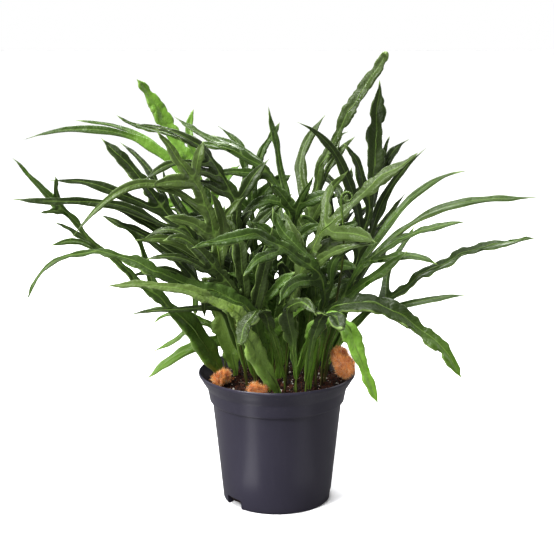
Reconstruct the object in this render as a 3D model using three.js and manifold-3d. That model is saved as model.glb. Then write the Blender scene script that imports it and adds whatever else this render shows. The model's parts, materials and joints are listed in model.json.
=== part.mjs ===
// A potted fern: a plastic nursery pot, its soil, three furry rhizomes and the fronds that rise from them.
// Millimetres, +Z up. The origin is at the middle of the foot, on the surface that the pot stands on.
// The front of the plant looks along -Y, and its longest straps spread to the left and right.

import * as THREE from 'three';
import { mergeVertices } from 'three/addons/utils/BufferGeometryUtils.js';
import Module from 'manifold-3d';

const wasm = await Module();
wasm.setup();

// ---- driving dimensions ----

// pot
const potHeight = 126;
const footRadius = 52;
const shoulderRadius = 62; // the wall's outer radius just below the collar
const collarLowRadius = 64.5;
const collarHighRadius = 66.7;
const collarHeight = 13;
const lipRadius = 75;
const lipHeight = 15;
const wallThickness = 1.6;
const floorLift = 3; // the floor's height above the foot ring
const footRingWidth = 3.5;
const footEdge = 1.2; // bevel at the bottom corner
const notchWidth = 21;
const notchHeight = 9;
const notchDepth = 10; // how far a notch reaches in from the foot
const notchAngles = [-52, 88, 198]; // degrees from the front

// soil
const soilDepthBelowLip = 11;
const soilLumps = 1.1;

// leaves
const plantReach = 250; // how far the longest straps reach from the pot's axis
const plantRise = 316; // how high the tallest frond stands above the soil
const lobeWidth = 12;
const lobeThickness = 1.2;
const stalkThickness = 3.4; // through the stalk at the soil, from its upper to its lower side
const ribThickness = 1.6; // the same through the rib in the outer part of a leaf
const lobeBase = 9; // half the length of rib that one lobe grows from
const rootDepth = 7; // how deep a stalk stands in the soil
const rootRise = 4; // how far it rises straight up
const stalkStep = 22; // between the stations of a bare stalk

// clearances
const fit = 0.3; // between touching pieces
const leafGap = 0.6; // between one frond and the next
const socketFit = 0.6; // round a stalk in the soil

// ---- sizes that follow ----

const collarTop = potHeight - lipHeight;
const collarFoot = collarTop - collarHeight;
const soilLevel = potHeight - soilDepthBelowLip;
const lipInset = (lipRadius - collarHighRadius) * soilDepthBelowLip / lipHeight;
const soilRadius = lipRadius - lipInset - wallThickness - fit;
const rootLimit = collarHighRadius - wallThickness; // the wall round the roots, under the flare of the lip

// The points below are drawn for a plant of this reach and rise in this pot, and follow the real sizes.
const drawnReach = 250;
const drawnRise = 316;
const drawnSoilRadius = 67;
const drawnRootLimit = 65.1;

// ---- helpers ----

function plainBody(geometry) {
  geometry.deleteAttribute('normal');
  geometry.deleteAttribute('uv');
  const merged = mergeVertices(geometry, 1e-4);
  const corners = [];
  const index = merged.index.array;
  for (let i = 0; i < index.length; i += 3) {
    const [a, b, c] = [index[i], index[i + 1], index[i + 2]];
    if (a !== b && b !== c && c !== a) {
      corners.push(a, b, c);
    }
  }
  merged.setIndex(corners);
  return merged;
}

function toSolid(geometry) {
  return new wasm.Manifold(new wasm.Mesh({
    numProp: 3,
    vertProperties: new Float32Array(geometry.attributes.position.array),
    triVerts: new Uint32Array(geometry.index.array),
  }));
}

function toGeometry(solid) {
  const mesh = solid.getMesh();
  const geometry = new THREE.BufferGeometry();
  geometry.setAttribute('position', new THREE.BufferAttribute(new Float32Array(mesh.vertProperties), 3));
  geometry.setIndex(new THREE.BufferAttribute(new Uint32Array(mesh.triVerts), 1));
  return geometry;
}

function turned(profile, segments) {
  const points = profile.map(([radius, height]) => new THREE.Vector2(radius, height));
  const geometry = new THREE.LatheGeometry(points, segments);
  geometry.rotateX(Math.PI / 2);
  return plainBody(geometry);
}

function piece(name, geometry, color, roughness) {
  const flat = geometry.toNonIndexed();
  flat.computeVertexNormals();
  const mesh = new THREE.Mesh(flat, new THREE.MeshStandardMaterial({ color, roughness, metalness: 0 }));
  mesh.name = name;
  return mesh;
}

// ---- pot ----

const potSegments = 48;
const soilSegments = 24;

// The wall's inner face, from the floor up to the lip.
const innerWall = [
  [footRadius - wallThickness, floorLift + wallThickness],
  [shoulderRadius - wallThickness, collarFoot - wallThickness],
  [collarLowRadius - wallThickness, collarFoot + wallThickness],
  [collarHighRadius - wallThickness, collarTop],
  [lipRadius - wallThickness, potHeight],
];

function makePot() {
  const outerWall = [
    [0, floorLift],
    [footRadius - footRingWidth - footEdge, floorLift],
    [footRadius - footRingWidth - footEdge, 0],
    [footRadius - footEdge, 0],
    [footRadius, footEdge],
    [shoulderRadius, collarFoot],
    [collarLowRadius, collarFoot],
    [collarHighRadius, collarTop],
    [lipRadius, potHeight],
  ];
  const profile = [...outerWall, ...innerWall.slice().reverse(), [0, floorLift + wallThickness]];
  let pot = toSolid(turned(profile, potSegments));
  for (const angle of notchAngles) {
    const around = THREE.MathUtils.degToRad(angle);
    const notch = new THREE.BoxGeometry(notchWidth, notchDepth * 2, notchHeight * 2);
    notch.translate(0, -footRadius, 0);
    notch.rotateZ(around);
    pot = pot.subtract(toSolid(plainBody(notch)));
  }
  return toGeometry(pot);
}

// ---- rhizomes ----

// A knobbly creeping stem with round ends, lying along `heading` and tilted up by `tilt`.
function makeRhizome({ at, length, girth, heading, tilt }) {
  const profile = [];
  const rings = 9;
  for (let i = 0; i <= rings; i += 1) {
    const along = i / rings;
    const knobs = 1 + 0.12 * Math.sin(along * 11);
    const radius = Math.sqrt(Math.max(0, 1 - (2 * along - 1) ** 4)) * girth * knobs / 2;
    profile.push([i === 0 || i === rings ? 0 : radius, (along - 0.5) * length]);
  }
  const geometry = turned(profile, 12);
  geometry.rotateY(Math.PI / 2 - THREE.MathUtils.degToRad(tilt));
  geometry.rotateZ(THREE.MathUtils.degToRad(heading));
  const drawnToReal = soilRadius / drawnSoilRadius;
  geometry.translate(at[0] * drawnToReal, at[1] * drawnToReal, soilLevel + at[2]);
  return geometry;
}

const rhizomes = [
  { name: 'rhizome_left', at: [-52, -21, 10], length: 24, girth: 15, heading: 55, tilt: 8 },
  { name: 'rhizome_right', at: [61, -31, 28], length: 36, girth: 18, heading: -73, tilt: -22 },
  { name: 'rhizome_front', at: [-17, -57, 9], length: 21, girth: 12, heading: 172, tilt: 6 },
];

// ---- fronds ----

function plantPoint([x, y, rise]) {
  const spread = plantReach / drawnReach;
  return new THREE.Vector3(x * spread, y * spread, soilLevel + rise * plantRise / drawnRise);
}

function rootPoint([x, y], rise) {
  const spread = rootLimit / drawnRootLimit;
  return new THREE.Vector3(x * spread, y * spread, soilLevel + rise);
}

function profileAt(profile, along) {
  for (let i = 1; i < profile.length; i += 1) {
    const [end, size] = profile[i];
    if (along <= end) {
      const [start, before] = profile[i - 1];
      return THREE.MathUtils.lerp(before, size, (along - start) / (end - start));
    }
  }
  return profile[profile.length - 1][1];
}

const ribTaperRate = 1.6; // how soon a stalk thins to its rib

// The rib of a frond: stations from the soil to the tip, each with its place, its direction, the direction
// of its left edge and the half width of the leaf there. `swing` leans the rib sideways above its root, and
// `grow` makes it that much larger all round.
function makeRib(spec, swing, grow) {
  const points = [rootPoint(spec.root, -rootDepth), rootPoint(spec.root, rootRise)];
  spec.spine.forEach((point, i) => {
    const share = (i + 1) / spec.spine.length;
    points.push(plantPoint(point).addScaledVector(swing, share));
  });
  const curve = new THREE.CatmullRomCurve3(points, false, 'centripetal');
  const length = curve.getLength();
  const leafStart = spec.leafFrom * length;
  const stalkSteps = Math.max(2, Math.round(leafStart / stalkStep));
  const leafSteps = Math.max(3, Math.round((length - leafStart) / lobeBase));
  const face = new THREE.Vector3(...spec.face).normalize();
  const stations = [];
  const last = stalkSteps + leafSteps;
  for (let i = 0; i <= last; i += 1) {
    const inLeaf = (i - stalkSteps) / leafSteps;
    const leafDistance = leafStart + (length - leafStart) * inLeaf;
    const distance = i < stalkSteps ? leafStart * i / stalkSteps : leafDistance;
    const along = Math.min(1, distance / length);
    const forward = curve.getTangentAt(along);
    const left = new THREE.Vector3().crossVectors(face, forward).normalize();
    const up = new THREE.Vector3().crossVectors(forward, left).normalize();
    const place = curve.getPointAt(along);
    if (i === 0) {
      place.addScaledVector(forward, -grow);
    }
    stations.push({
      place,
      forward,
      left,
      up,
      half: profileAt(spec.widths, along) + grow,
      thick: THREE.MathUtils.lerp(stalkThickness, ribThickness, Math.min(1, along * ribTaperRate)) + 2 * grow,
    });
  }
  return { stations, stalkSteps, last, face: spec.face };
}

function edgePlace(station, side) {
  return station.place.clone().addScaledVector(station.left, side === 'left' ? station.half : -station.half);
}

const lobeRows = [0.14, 0.36, 0.6, 0.82];
const lobeShape = [1, 1, 0.86, 0.56];
const lobeTurnRate = 2.4; // how soon a lobe turns its upper side the way it will face

// The rows of one lobe: an open strip of three points a row, ending in a tip.
function makeLobeRows(rib, lobe, swing, grow) {
  const station = rib.stations[lobe.station];
  const out = station.left.clone().multiplyScalar(lobe.side === 'left' ? 1 : -1);
  const foot = station.place.clone().addScaledVector(out, station.half);
  const points = [foot];
  if (lobe.path) {
    points.push(...lobe.path.map(plantPoint));
  } else {
    const aim = out.clone().multiplyScalar(Math.cos(lobe.lean));
    aim.addScaledVector(station.forward, Math.sin(lobe.lean));
    const halfway = foot.clone().addScaledVector(aim, lobe.reach * 0.5);
    halfway.z += lobe.arch * lobe.reach;
    const tip = foot.clone().addScaledVector(aim, lobe.reach);
    tip.z -= lobe.droop * lobe.reach;
    points.push(halfway, tip);
  }
  for (let i = 1; i < points.length; i += 1) {
    points[i].addScaledVector(swing, i / (points.length - 1));
  }
  const curve = new THREE.CatmullRomCurve3(points, false, 'centripetal');
  const turn = lobe.side === 'left' ? 1 : -1;
  const face = new THREE.Vector3(...(lobe.face ?? rib.face)).normalize();
  const rows = lobeRows.map((along, i) => {
    const ahead = curve.getTangentAt(along);
    const settled = new THREE.Vector3().crossVectors(ahead, face).normalize().multiplyScalar(turn);
    const grown = station.forward.clone().addScaledVector(ahead, -station.forward.dot(ahead)).normalize();
    const across = grown.lerp(settled, Math.min(1, along * lobeTurnRate));
    across.addScaledVector(ahead, -across.dot(ahead)).normalize();
    const half = lobe.width * lobeShape[i] / 2 + grow;
    const place = curve.getPointAt(along);
    const up = new THREE.Vector3().crossVectors(across, ahead).normalize().multiplyScalar(turn);
    return {
      a: place.clone().addScaledVector(across, -half),
      c: place,
      b: place.clone().addScaledVector(across, half),
      up,
    };
  });
  return { rows, tip: points[points.length - 1] };
}

// A closed leaf skin: points on the margin are shared by both faces, points inside are moved apart.
class LeafSkin {
  constructor() {
    this.positions = [];
    this.triangles = [];
  }

  margin(place) {
    const id = this.positions.length / 3;
    this.positions.push(place.x, place.y, place.z);
    return { upper: id, lower: id };
  }

  inside(place, up, thickness) {
    const half = up.clone().multiplyScalar(thickness / 2);
    const upper = this.margin(place.clone().add(half)).upper;
    const lower = this.margin(place.clone().sub(half)).upper;
    return { upper, lower };
  }

  triangle(a, b, c, flip) {
    const [second, third] = flip ? [c, b] : [b, c];
    this.triangles.push(a.upper, second.upper, third.upper);
    this.triangles.push(a.lower, third.lower, second.lower);
  }

  quad(a, b, c, d, flip) {
    this.triangle(a, b, c, flip);
    this.triangle(a, c, d, flip);
  }

  // `first` is the row that the lobe grows from: its base side, its middle and its tip side.
  lobe(first, shape, side, thickness) {
    const flip = side === 'right';
    let [a, c, b] = first;
    for (const row of shape.rows) {
      const next = [this.margin(row.a), this.inside(row.c, row.up, thickness), this.margin(row.b)];
      this.quad(a, c, next[1], next[0], flip);
      this.quad(c, b, next[2], next[1], flip);
      [a, c, b] = next;
    }
    const tip = this.margin(shape.tip);
    this.triangle(a, c, tip, flip);
    this.triangle(c, b, tip, flip);
  }

  cap(left, middle, right) {
    this.triangles.push(left.upper, middle.lower, middle.upper);
    this.triangles.push(right.upper, middle.upper, middle.lower);
  }

  geometry() {
    const geometry = new THREE.BufferGeometry();
    geometry.setAttribute('position', new THREE.BufferAttribute(new Float32Array(this.positions), 3));
    geometry.setIndex(this.triangles);
    return geometry;
  }
}

function buildSkin(rib, lobes) {
  const skin = new LeafSkin();
  const lobeAt = new Map(lobes.map((lobe) => [`${lobe.side} ${lobe.station}`, lobe]));
  const edges = { left: [], right: [] };
  const middle = [];
  rib.stations.forEach((station, i) => {
    if (i === rib.last) {
      const tip = skin.margin(station.place);
      middle.push(tip);
      edges.left.push(tip);
      edges.right.push(tip);
      return;
    }
    middle.push(skin.inside(station.place, station.up, station.thick));
    for (const side of ['left', 'right']) {
      const place = edgePlace(station, side);
      const grown = lobeAt.has(`${side} ${i}`);
      edges[side].push(grown ? skin.inside(place, station.up, lobeThickness) : skin.margin(place));
    }
  });
  skin.cap(edges.left[0], middle[0], edges.right[0]);
  for (const side of ['left', 'right']) {
    const edge = edges[side];
    const flip = side === 'right';
    for (let i = 0; i < rib.last - 1; i += 1) {
      skin.quad(middle[i], middle[i + 1], edge[i + 1], edge[i], flip);
    }
    skin.triangle(middle[rib.last - 1], middle[rib.last], edge[rib.last - 1], flip);
    for (const lobe of lobes.filter((each) => each.side === side)) {
      const first = [edge[lobe.station - 1], edge[lobe.station], edge[lobe.station + 1]];
      skin.lobe(first, lobe.shape, side, lobeThickness);
    }
  }
  return skin.geometry();
}

// A lobe by itself, a little wider and thicker than it will be, to find room for it. Its outer part starts
// where the lobe has left the rib.
function lobeProbe(rib, lobe, swing, outerOnly) {
  const shape = makeLobeRows(rib, lobe, swing, leafGap);
  const thickness = lobeThickness + 2 * leafGap;
  const skin = new LeafSkin();
  let first = null;
  if (outerOnly) {
    const row = shape.rows.shift();
    first = [skin.margin(row.a), skin.inside(row.c, row.up, thickness), skin.margin(row.b)];
  } else {
    const [before, station, after] = rib.stations.slice(lobe.station - 1, lobe.station + 2);
    const middle = skin.inside(edgePlace(station, lobe.side), station.up, thickness);
    const margins = [before, after].map((near) => skin.margin(edgePlace(near, lobe.side)));
    first = [margins[0], middle, margins[1]];
  }
  const [near, far] = lobe.side === 'left' ? [first[0], first[2]] : [first[2], first[0]];
  skin.triangles.push(near.upper, first[1].lower, first[1].upper);
  skin.triangles.push(far.upper, first[1].upper, first[1].lower);
  skin.lobe(first, shape, lobe.side, thickness);
  return toSolid(skin.geometry());
}

function overlap(one, other) {
  const a = one.boundingBox();
  const b = other.boundingBox();
  for (let axis = 0; axis < 3; axis += 1) {
    if (a.max[axis] < b.min[axis] || b.max[axis] < a.min[axis]) {
      return 0;
    }
  }
  return one.intersect(other).volume();
}

// The ways a strap may be swung aside, smallest first: towards the front or back, up, down or to a side.
const swingSteps = [8, 16, 24, 32, 42, 54];
const swingWays = [[0, -1, 0], [0, 1, 0], [0, 0, 1], [0, -0.7, 0.7], [0, 0.7, 0.7], [0.7, 0, 0.7],
  [-0.7, 0, 0.7], [0, -0.8, -0.6]];

function findRoom(clashOf) {
  const swings = [new THREE.Vector3()];
  for (const step of swingSteps) {
    for (const way of swingWays) {
      swings.push(new THREE.Vector3(...way).multiplyScalar(step));
    }
  }
  return swings.find((swing) => clashOf(swing) < 1e-6);
}

function clashWith(probe, solids) {
  return solids.reduce((sum, solid) => sum + overlap(probe, solid), 0);
}

// Each lobe takes the free station nearest to the one that it asks for where there is room to grow.
function placeLobes(spec, rib, ownRib, taken) {
  const firstStation = rib.stalkSteps + 1;
  const lastStation = rib.last - 2;
  const used = { left: new Set(), right: new Set() };
  const own = [];
  const placed = [];
  for (const wanted of spec.lobes) {
    const aim = firstStation + Math.round(wanted.at * (lastStation - firstStation));
    for (const step of [0, 1, -1, 2, -2, 3, -3]) {
      const station = aim + step;
      const isFree = [station - 1, station, station + 1].every((near) => !used[wanted.side].has(near));
      if (station < firstStation || station > lastStation || !isFree) {
        continue;
      }
      const lobe = { width: lobeWidth, ...wanted, station };
      const swing = findRoom((way) => clashWith(lobeProbe(rib, lobe, way, false), [...taken, ...own])
        + clashWith(lobeProbe(rib, lobe, way, true), [ownRib]));
      if (swing !== undefined) {
        used[wanted.side].add(station);
        own.push(lobeProbe(rib, lobe, swing, false));
        placed.push({ ...lobe, shape: makeLobeRows(rib, lobe, swing, 0) });
        break;
      }
    }
  }
  return placed;
}

function ribSolid(spec, swing, grow) {
  return toSolid(buildSkin(makeRib(spec, swing, grow), []));
}

// Lobes that follow the frond's own habit: in pairs, longest below the middle, leaning to the tip.
function habit({ count, reach, from = 0, to = 1, lean = 0.6, droop = 0.1, sides = ['left', 'right'] }) {
  const arch = 0.06;
  const lobes = [];
  for (let i = 0; i < count; i += 1) {
    const at = count === 1 ? from : THREE.MathUtils.lerp(from, to, i / (count - 1));
    sides.forEach((side, k) => {
      const size = reach * (1 - 0.45 * at) * (k === 0 ? 1 : 0.9);
      lobes.push({ at: at + k * 0.05, side, reach: size, lean, arch, droop });
    });
  }
  return lobes;
}

const slimWidths = [[0, 2.6], [0.3, 2.6], [0.5, 3.4], [0.85, 4.2], [0.95, 3], [1, 0.9]];
const baseWidths = [[0, 2.6], [0.14, 4.4], [0.3, 11], [0.55, 13], [0.8, 10], [0.93, 5], [1, 0.9]];
const broadFoot = [[0, 2.6], [0.06, 4], [0.14, 12], [0.24, 13], [0.34, 6], [0.5, 3.6], [0.9, 3.6], [1, 0.9]];

const fronds = [
  {
    name: 'frond_long_left', tone: 'mid', root: [-50, -2], leafFrom: 0.36, face: [0.3, -0.75, 0.6],
    widths: broadFoot,
    spine: [[-65, -20, 35], [-80, -35, 65], [-135, -55, 120], [-175, -65, 160], [-225, -90, 225]],
    lobes: [
      { at: 0.4, side: 'left', path: [[-175, -80, 150], [-195, -100, 150]], width: 6 },
      { at: 0.55, side: 'left', path: [[-192, -85, 168]], width: 6 },
      { at: 0.72, side: 'left', path: [[-202, -92, 178]], width: 5 },
      { at: 0.8, side: 'right', path: [[-196, -85, 203]], width: 5 },
      { at: 0.12, side: 'right', path: [[-125, -50, 150], [-150, -60, 168]], width: 8 },
    ],
  },
  {
    name: 'frond_broad_left', tone: 'mid', root: [-8, -36], leafFrom: 0.3, face: [0.25, -0.7, 0.65],
    widths: [[0, 2.6], [0.08, 5], [0.16, 10], [0.28, 12], [0.45, 8], [0.6, 8.6], [0.69, 4], [0.8, 2.2],
      [1, 0.9]],
    spine: [[-15, -50, 55], [-30, -60, 85], [-95, -85, 120], [-130, -95, 138], [-160, -100, 145],
      [-190, -110, 138], [-211, -120, 103]],
    lobes: [],
  },
  {
    name: 'frond_front_left', tone: 'mid', root: [3, -55], leafFrom: 0.25, face: [0.3, -0.7, 0.6],
    widths: [[0, 2.6], [0.07, 5], [0.16, 10], [0.28, 9.5], [0.4, 6.5], [0.8, 5], [1, 0.9]],
    spine: [[-20, -75, 50], [-35, -92, 90], [-65, -106, 110], [-105, -116, 120], [-146, -121, 120]],
    lobes: [],
  },
  {
    name: 'frond_strap_right', tone: 'dark', root: [30, -28], leafFrom: 0.3, face: [-0.1, -0.55, 0.85],
    widths: [[0, 2.6], [0.15, 4], [0.32, 7], [0.5, 10.5], [0.75, 10], [0.92, 6], [1, 0.9]],
    spine: [[40, -40, 65], [55, -50, 85], [90, -60, 90], [125, -66, 70], [150, -74, 52], [165, -80, 25]],
    lobes: [],
  },
  {
    name: 'frond_bright_front', tone: 'bright', root: [16, -38], leafFrom: 0.3, face: [0.5, -0.8, 0.5],
    widths: [[0, 2.6], [0.2, 3.4], [0.4, 7], [0.6, 9], [0.8, 8], [0.93, 4], [1, 0.9]],
    spine: [[30, -55, 55], [45, -66, 80], [60, -76, 75], [72, -85, 48], [90, -92, 5]],
    lobes: [],
  },
  {
    name: 'frond_tall_olive', tone: 'olive', root: [18, 6], leafFrom: 0.42, face: [-0.2, -0.9, 0.35],
    widths: [[0, 2.6], [0.4, 3], [0.6, 4.6], [0.85, 6], [0.97, 4.4], [1, 0.9]],
    spine: [[20, 20, 95], [30, 25, 155], [45, 25, 210], [65, 20, 252], [91, 15, 294], [104, 10, 316]],
    lobes: [
      { at: 0.1, side: 'left', path: [[20, 45, 210], [40, 55, 240], [50, 60, 256]], width: 12 },
      { at: 0.4, side: 'right', path: [[58, 55, 228], [72, 62, 236]], width: 7 },
      { at: 0.22, side: 'right', path: [[60, 45, 218], [77, 40, 232]], width: 8 },
      { at: 0.05, side: 'right', path: [[50, 5, 185], [68, -8, 208]], width: 9 },
      ...habit({ count: 1, reach: 70, lean: 0.75, sides: ['left'] }),
    ],
  },
  {
    name: 'frond_pale_rib', tone: 'dark', root: [42, 18], leafFrom: 0.34, face: [0.15, -0.95, 0.3],
    widths: [[0, 2.6], [0.4, 3], [0.62, 4.4], [0.72, 8.5], [0.84, 10], [0.94, 6], [1, 0.9]],
    spine: [[65, 30, 65], [80, 35, 115], [90, 40, 180], [95, 40, 230], [96, 45, 286]],
    lobes: [
      { at: 0.28, side: 'left', path: [[58, 5, 215], [35, -10, 240], [10, -25, 250]], width: 10 },
      { at: 0.42, side: 'left', path: [[75, 22, 212], [60, 15, 228]], width: 10 },
      { at: 0.35, side: 'right', path: [[105, 62, 205], [120, 75, 218], [136, 84, 226]], width: 10 },
      { at: 0.5, side: 'right', path: [[104, 60, 215], [112, 68, 228]], width: 8 },
      { at: 0.18, side: 'right', path: [[112, 48, 185], [130, 40, 202], [150, 32, 221]], width: 11 },
      { at: 0.02, side: 'right', path: [[110, 72, 150], [135, 88, 177]], width: 10 },
      { at: 0, side: 'left', path: [[56, 8, 130], [51, -6, 160], [50, -12, 190]], width: 14 },
      ...habit({ count: 1, reach: 70, from: 0.14, lean: 0.5, droop: 0.15, sides: ['left'] }),
    ],
  },
  {
    name: 'frond_diagonal', tone: 'olive', root: [8, -12], leafFrom: 0.4, face: [-0.45, -0.75, 0.5],
    widths: [[0, 2.6], [0.35, 3.2], [0.5, 6], [0.85, 6.4], [0.96, 3], [1, 0.9]],
    spine: [[15, -25, 85], [32, -40, 138], [60, -45, 170], [95, -50, 202], [127, -52, 227]],
    lobes: [
      { at: 0.05, side: 'right', path: [[48, -62, 138], [62, -70, 146], [86, -80, 147]], width: 10 },
      ...habit({ count: 2, reach: 58, from: 0.05, to: 0.35, lean: 0.7, sides: ['left', 'right'] }),
    ],
  },
  {
    name: 'frond_right_fan', tone: 'mid', root: [42, -12], leafFrom: 0.3, face: [-0.3, -0.6, 0.75],
    widths: slimWidths,
    spine: [[55, -20, 75], [78, -26, 116], [105, -30, 140], [140, -35, 155], [172, -40, 161]],
    lobes: [
      { at: 0.2, side: 'left',
        path: [[106, -5, 155], [130, 5, 184], [160, 10, 200], [187, 10, 202]], width: 10 },
      { at: 0.5, side: 'left',
        path: [[140, -15, 168], [170, -16, 176], [215, -20, 180], [248, -20, 181]], width: 12 },
      { at: 0.1, side: 'right', path: [[90, -45, 112], [106, -50, 127], [121, -55, 141]], width: 14 },
      { at: 0.42, side: 'right', path: [[118, -48, 132], [146, -58, 124]], width: 9 },
    ],
  },
  {
    name: 'frond_lower_right', tone: 'mid', root: [46, 8], leafFrom: 0.34, face: [-0.2, -0.5, 0.85],
    widths: [[0, 2.6], [0.3, 3], [0.5, 6.4], [0.8, 6.2], [0.93, 3.6], [1, 0.9]],
    spine: [[70, 10, 50], [105, 5, 80], [155, -2, 115], [202, -10, 135], [242, -15, 142]],
    lobes: [
      { at: 0.02, side: 'right', path: [[125, -18, 78], [150, -24, 90], [182, -30, 91]], width: 8 },
      { at: 0.04, side: 'left', path: [[104, 25, 100], [120, 34, 122], [136, 40, 150]], width: 9 },
    ],
  },
  {
    name: 'frond_mid_left', tone: 'dark', root: [-18, -12], leafFrom: 0.34, face: [0.35, -0.8, 0.45],
    widths: [[0, 2.6], [0.35, 3], [0.5, 5], [0.75, 7], [0.92, 5], [1, 0.9]],
    spine: [[-38, -20, 85], [-70, -30, 135], [-100, -35, 170], [-130, -40, 210], [-157, -42, 238]],
    lobes: [
      { at: 0.12, side: 'left', path: [[-108, -45, 150], [-135, -55, 161], [-154, -60, 171]], width: 9 },
      { at: 0.28, side: 'left', path: [[-130, -50, 166], [-166, -62, 176]], width: 8 },
      { at: 0.44, side: 'left', path: [[-135, -60, 181], [-190, -75, 186], [-238, -82, 191]], width: 9 },
      { at: 0.62, side: 'left', path: [[-145, -56, 192], [-175, -65, 202], [-202, -70, 202]], width: 9 },
      { at: 0.62, side: 'right', path: [[-122, -14, 212], [-148, -5, 231]], width: 8 },
      { at: 0.35, side: 'right', path: [[-100, -20, 188], [-108, -12, 210]], width: 9 },
      ...habit({ count: 2, reach: 60, from: 0.0, to: 0.16, lean: 0.8, sides: ['right'] }),
    ],
  },
  {
    name: 'frond_grey_left', tone: 'olive', root: [-28, -22], leafFrom: 0.4, face: [0.3, -0.85, 0.4],
    widths: [[0, 2.6], [0.35, 3], [0.6, 5.5], [0.88, 5], [1, 0.9]],
    spine: [[-45, -38, 100], [-64, -45, 180], [-82, -50, 212], [-107, -55, 246]],
    lobes: [
      { at: 0.5, side: 'left', path: [[-112, -68, 205], [-150, -85, 186], [-182, -96, 148]], width: 8 },
      { at: 0.1, side: 'left', path: [[-95, -62, 150], [-130, -78, 150]], width: 10 },
      { at: 0.2, side: 'right', path: [[-50, -60, 178], [-62, -72, 200]], width: 11 },
      ...habit({ count: 2, reach: 56, from: 0.3, to: 0.7, lean: 0.7, sides: ['left', 'right'] }),
    ],
  },
  {
    name: 'frond_dark_left', tone: 'dark', root: [-10, 6], leafFrom: 0.42, face: [0.2, -0.7, 0.7],
    widths: [[0, 2.6], [0.4, 3], [0.6, 5], [0.85, 5], [1, 0.9]],
    spine: [[-32, 0, 115], [-45, 0, 188], [-60, -6, 214], [-90, -18, 239], [-128, -25, 247]],
    lobes: [
      { at: 0.35, side: 'left', path: [[-72, -22, 196], [-98, -32, 182]], width: 9 },
      { at: 0.6, side: 'left', path: [[-98, -30, 214], [-122, -38, 196]], width: 8 },
      ...habit({ count: 2, reach: 62, from: 0.0, to: 0.3, lean: 0.7, sides: ['right', 'left'] }),
    ],
  },
  {
    name: 'frond_arched', tone: 'mid', root: [10, 16], leafFrom: 0.42, face: [0.1, -0.6, 0.8],
    widths: [[0, 2.6], [0.4, 3], [0.6, 5], [0.85, 4.6], [1, 0.9]],
    spine: [[14, 25, 105], [8, 30, 175], [-22, 30, 207], [-68, 20, 226], [-110, 10, 240], [-147, 0, 256]],
    lobes: [
      { at: 0.42, side: 'right', path: [[-75, 35, 236], [-102, 45, 251]], width: 9 },
      { at: 0.22, side: 'right', path: [[-35, 45, 220], [-67, 55, 232]], width: 10 },
      { at: 0.3, side: 'left', path: [[-50, 12, 200], [-74, 2, 186]], width: 10 },
      { at: 0.1, side: 'left', path: [[-18, 10, 172], [-38, -4, 150]], width: 11 },
      { at: 0.0, side: 'right', path: [[-2, 52, 205], [-8, 62, 226]], width: 9 },
    ],
  },
  {
    name: 'frond_bright_back_left', tone: 'bright', root: [-22, 30], leafFrom: 0.36, face: [0.35, -0.8, 0.5],
    widths: [[0, 2.6], [0.4, 3], [0.62, 5], [0.84, 9.5], [0.94, 6], [1, 0.9]],
    spine: [[-40, 45, 80], [-65, 55, 155], [-90, 60, 212], [-117, 60, 256], [-137, 50, 287]],
    lobes: [
      { at: 0.42, side: 'left', path: [[-135, 50, 232], [-205, 40, 237], [-248, 30, 225]], width: 10 },
      { at: 0.56, side: 'left', path: [[-160, 60, 241], [-208, 66, 243]], width: 6 },
      ...habit({ count: 2, reach: 75, from: 0.02, to: 0.24, lean: 0.55, sides: ['left', 'right'] }),
      { at: 0.45, side: 'right', path: [[-88, 70, 236], [-84, 76, 254]], width: 9 },
    ],
  },
  {
    name: 'frond_centre', tone: 'mid', root: [36, -20], leafFrom: 0.34, face: [0.1, -0.85, 0.5],
    widths: [[0, 2.6], [0.3, 3], [0.45, 6], [0.85, 5.5], [1, 0.9]],
    spine: [[41, -26, 62], [38, -50, 114], [15, -68, 140], [-16, -84, 160], [-45, -95, 161],
      [-74, -105, 155]],
    lobes: [
      { at: 0.3, side: 'right', path: [[2, -62, 158], [-5, -66, 178]], width: 12 },
      { at: 0.05, side: 'right', path: [[48, -60, 128], [60, -72, 143], [84, -84, 150]], width: 10 },
      { at: 0.5, side: 'left', path: [[-18, -96, 142], [-30, -104, 128]], width: 11 },
      { at: 0.15, side: 'left', path: [[10, -82, 110], [-2, -94, 94]], width: 12 },
    ],
  },
  {
    name: 'frond_centre_left', tone: 'olive', root: [-20, -32], leafFrom: 0.3, face: [0.2, -0.8, 0.6],
    widths: [[0, 2.6], [0.3, 3], [0.5, 6], [0.85, 6], [1, 0.9]],
    spine: [[-30, -45, 70], [-46, -60, 110], [-65, -75, 138], [-85, -85, 154], [-103, -90, 150]],
    lobes: [
      { at: 0.2, side: 'left', path: [[-58, -82, 112], [-66, -94, 95], [-66, -101, 72]], width: 10 },
      { at: 0.55, side: 'left', path: [[-92, -92, 142], [-117, -97, 138]], width: 8 },
      { at: 0.62, side: 'right', path: [[-95, -62, 158], [-122, -58, 142]], width: 7 },
      { at: 0.25, side: 'right', path: [[-34, -62, 148], [-54, -64, 172]], width: 16 },
      { at: 0.02, side: 'right', path: [[-10, -66, 110], [-2, -80, 128]], width: 13 },
    ],
  },
  {
    name: 'frond_low_dark', tone: 'dark', root: [-30, 2], leafFrom: 0.34, face: [0.3, -0.6, 0.7],
    widths: [[0, 2.6], [0.3, 3], [0.55, 5], [0.85, 5], [1, 0.9]],
    spine: [[-50, -8, 72], [-80, -14, 108], [-118, -20, 141], [-164, -30, 167]],
    lobes: [
      { at: 0.02, side: 'left', path: [[-78, -38, 80], [-105, -50, 86], [-138, -56, 79]], width: 7 },
      { at: 0.4, side: 'right', path: [[-118, 4, 158], [-142, 12, 178]], width: 8 },
      { at: 0.25, side: 'left', path: [[-112, -36, 118], [-140, -46, 112]], width: 8 },
      ...habit({ count: 1, reach: 60, from: 0.1, to: 0.1, lean: 0.7, sides: ['right'] }),
    ],
  },
  {
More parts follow.
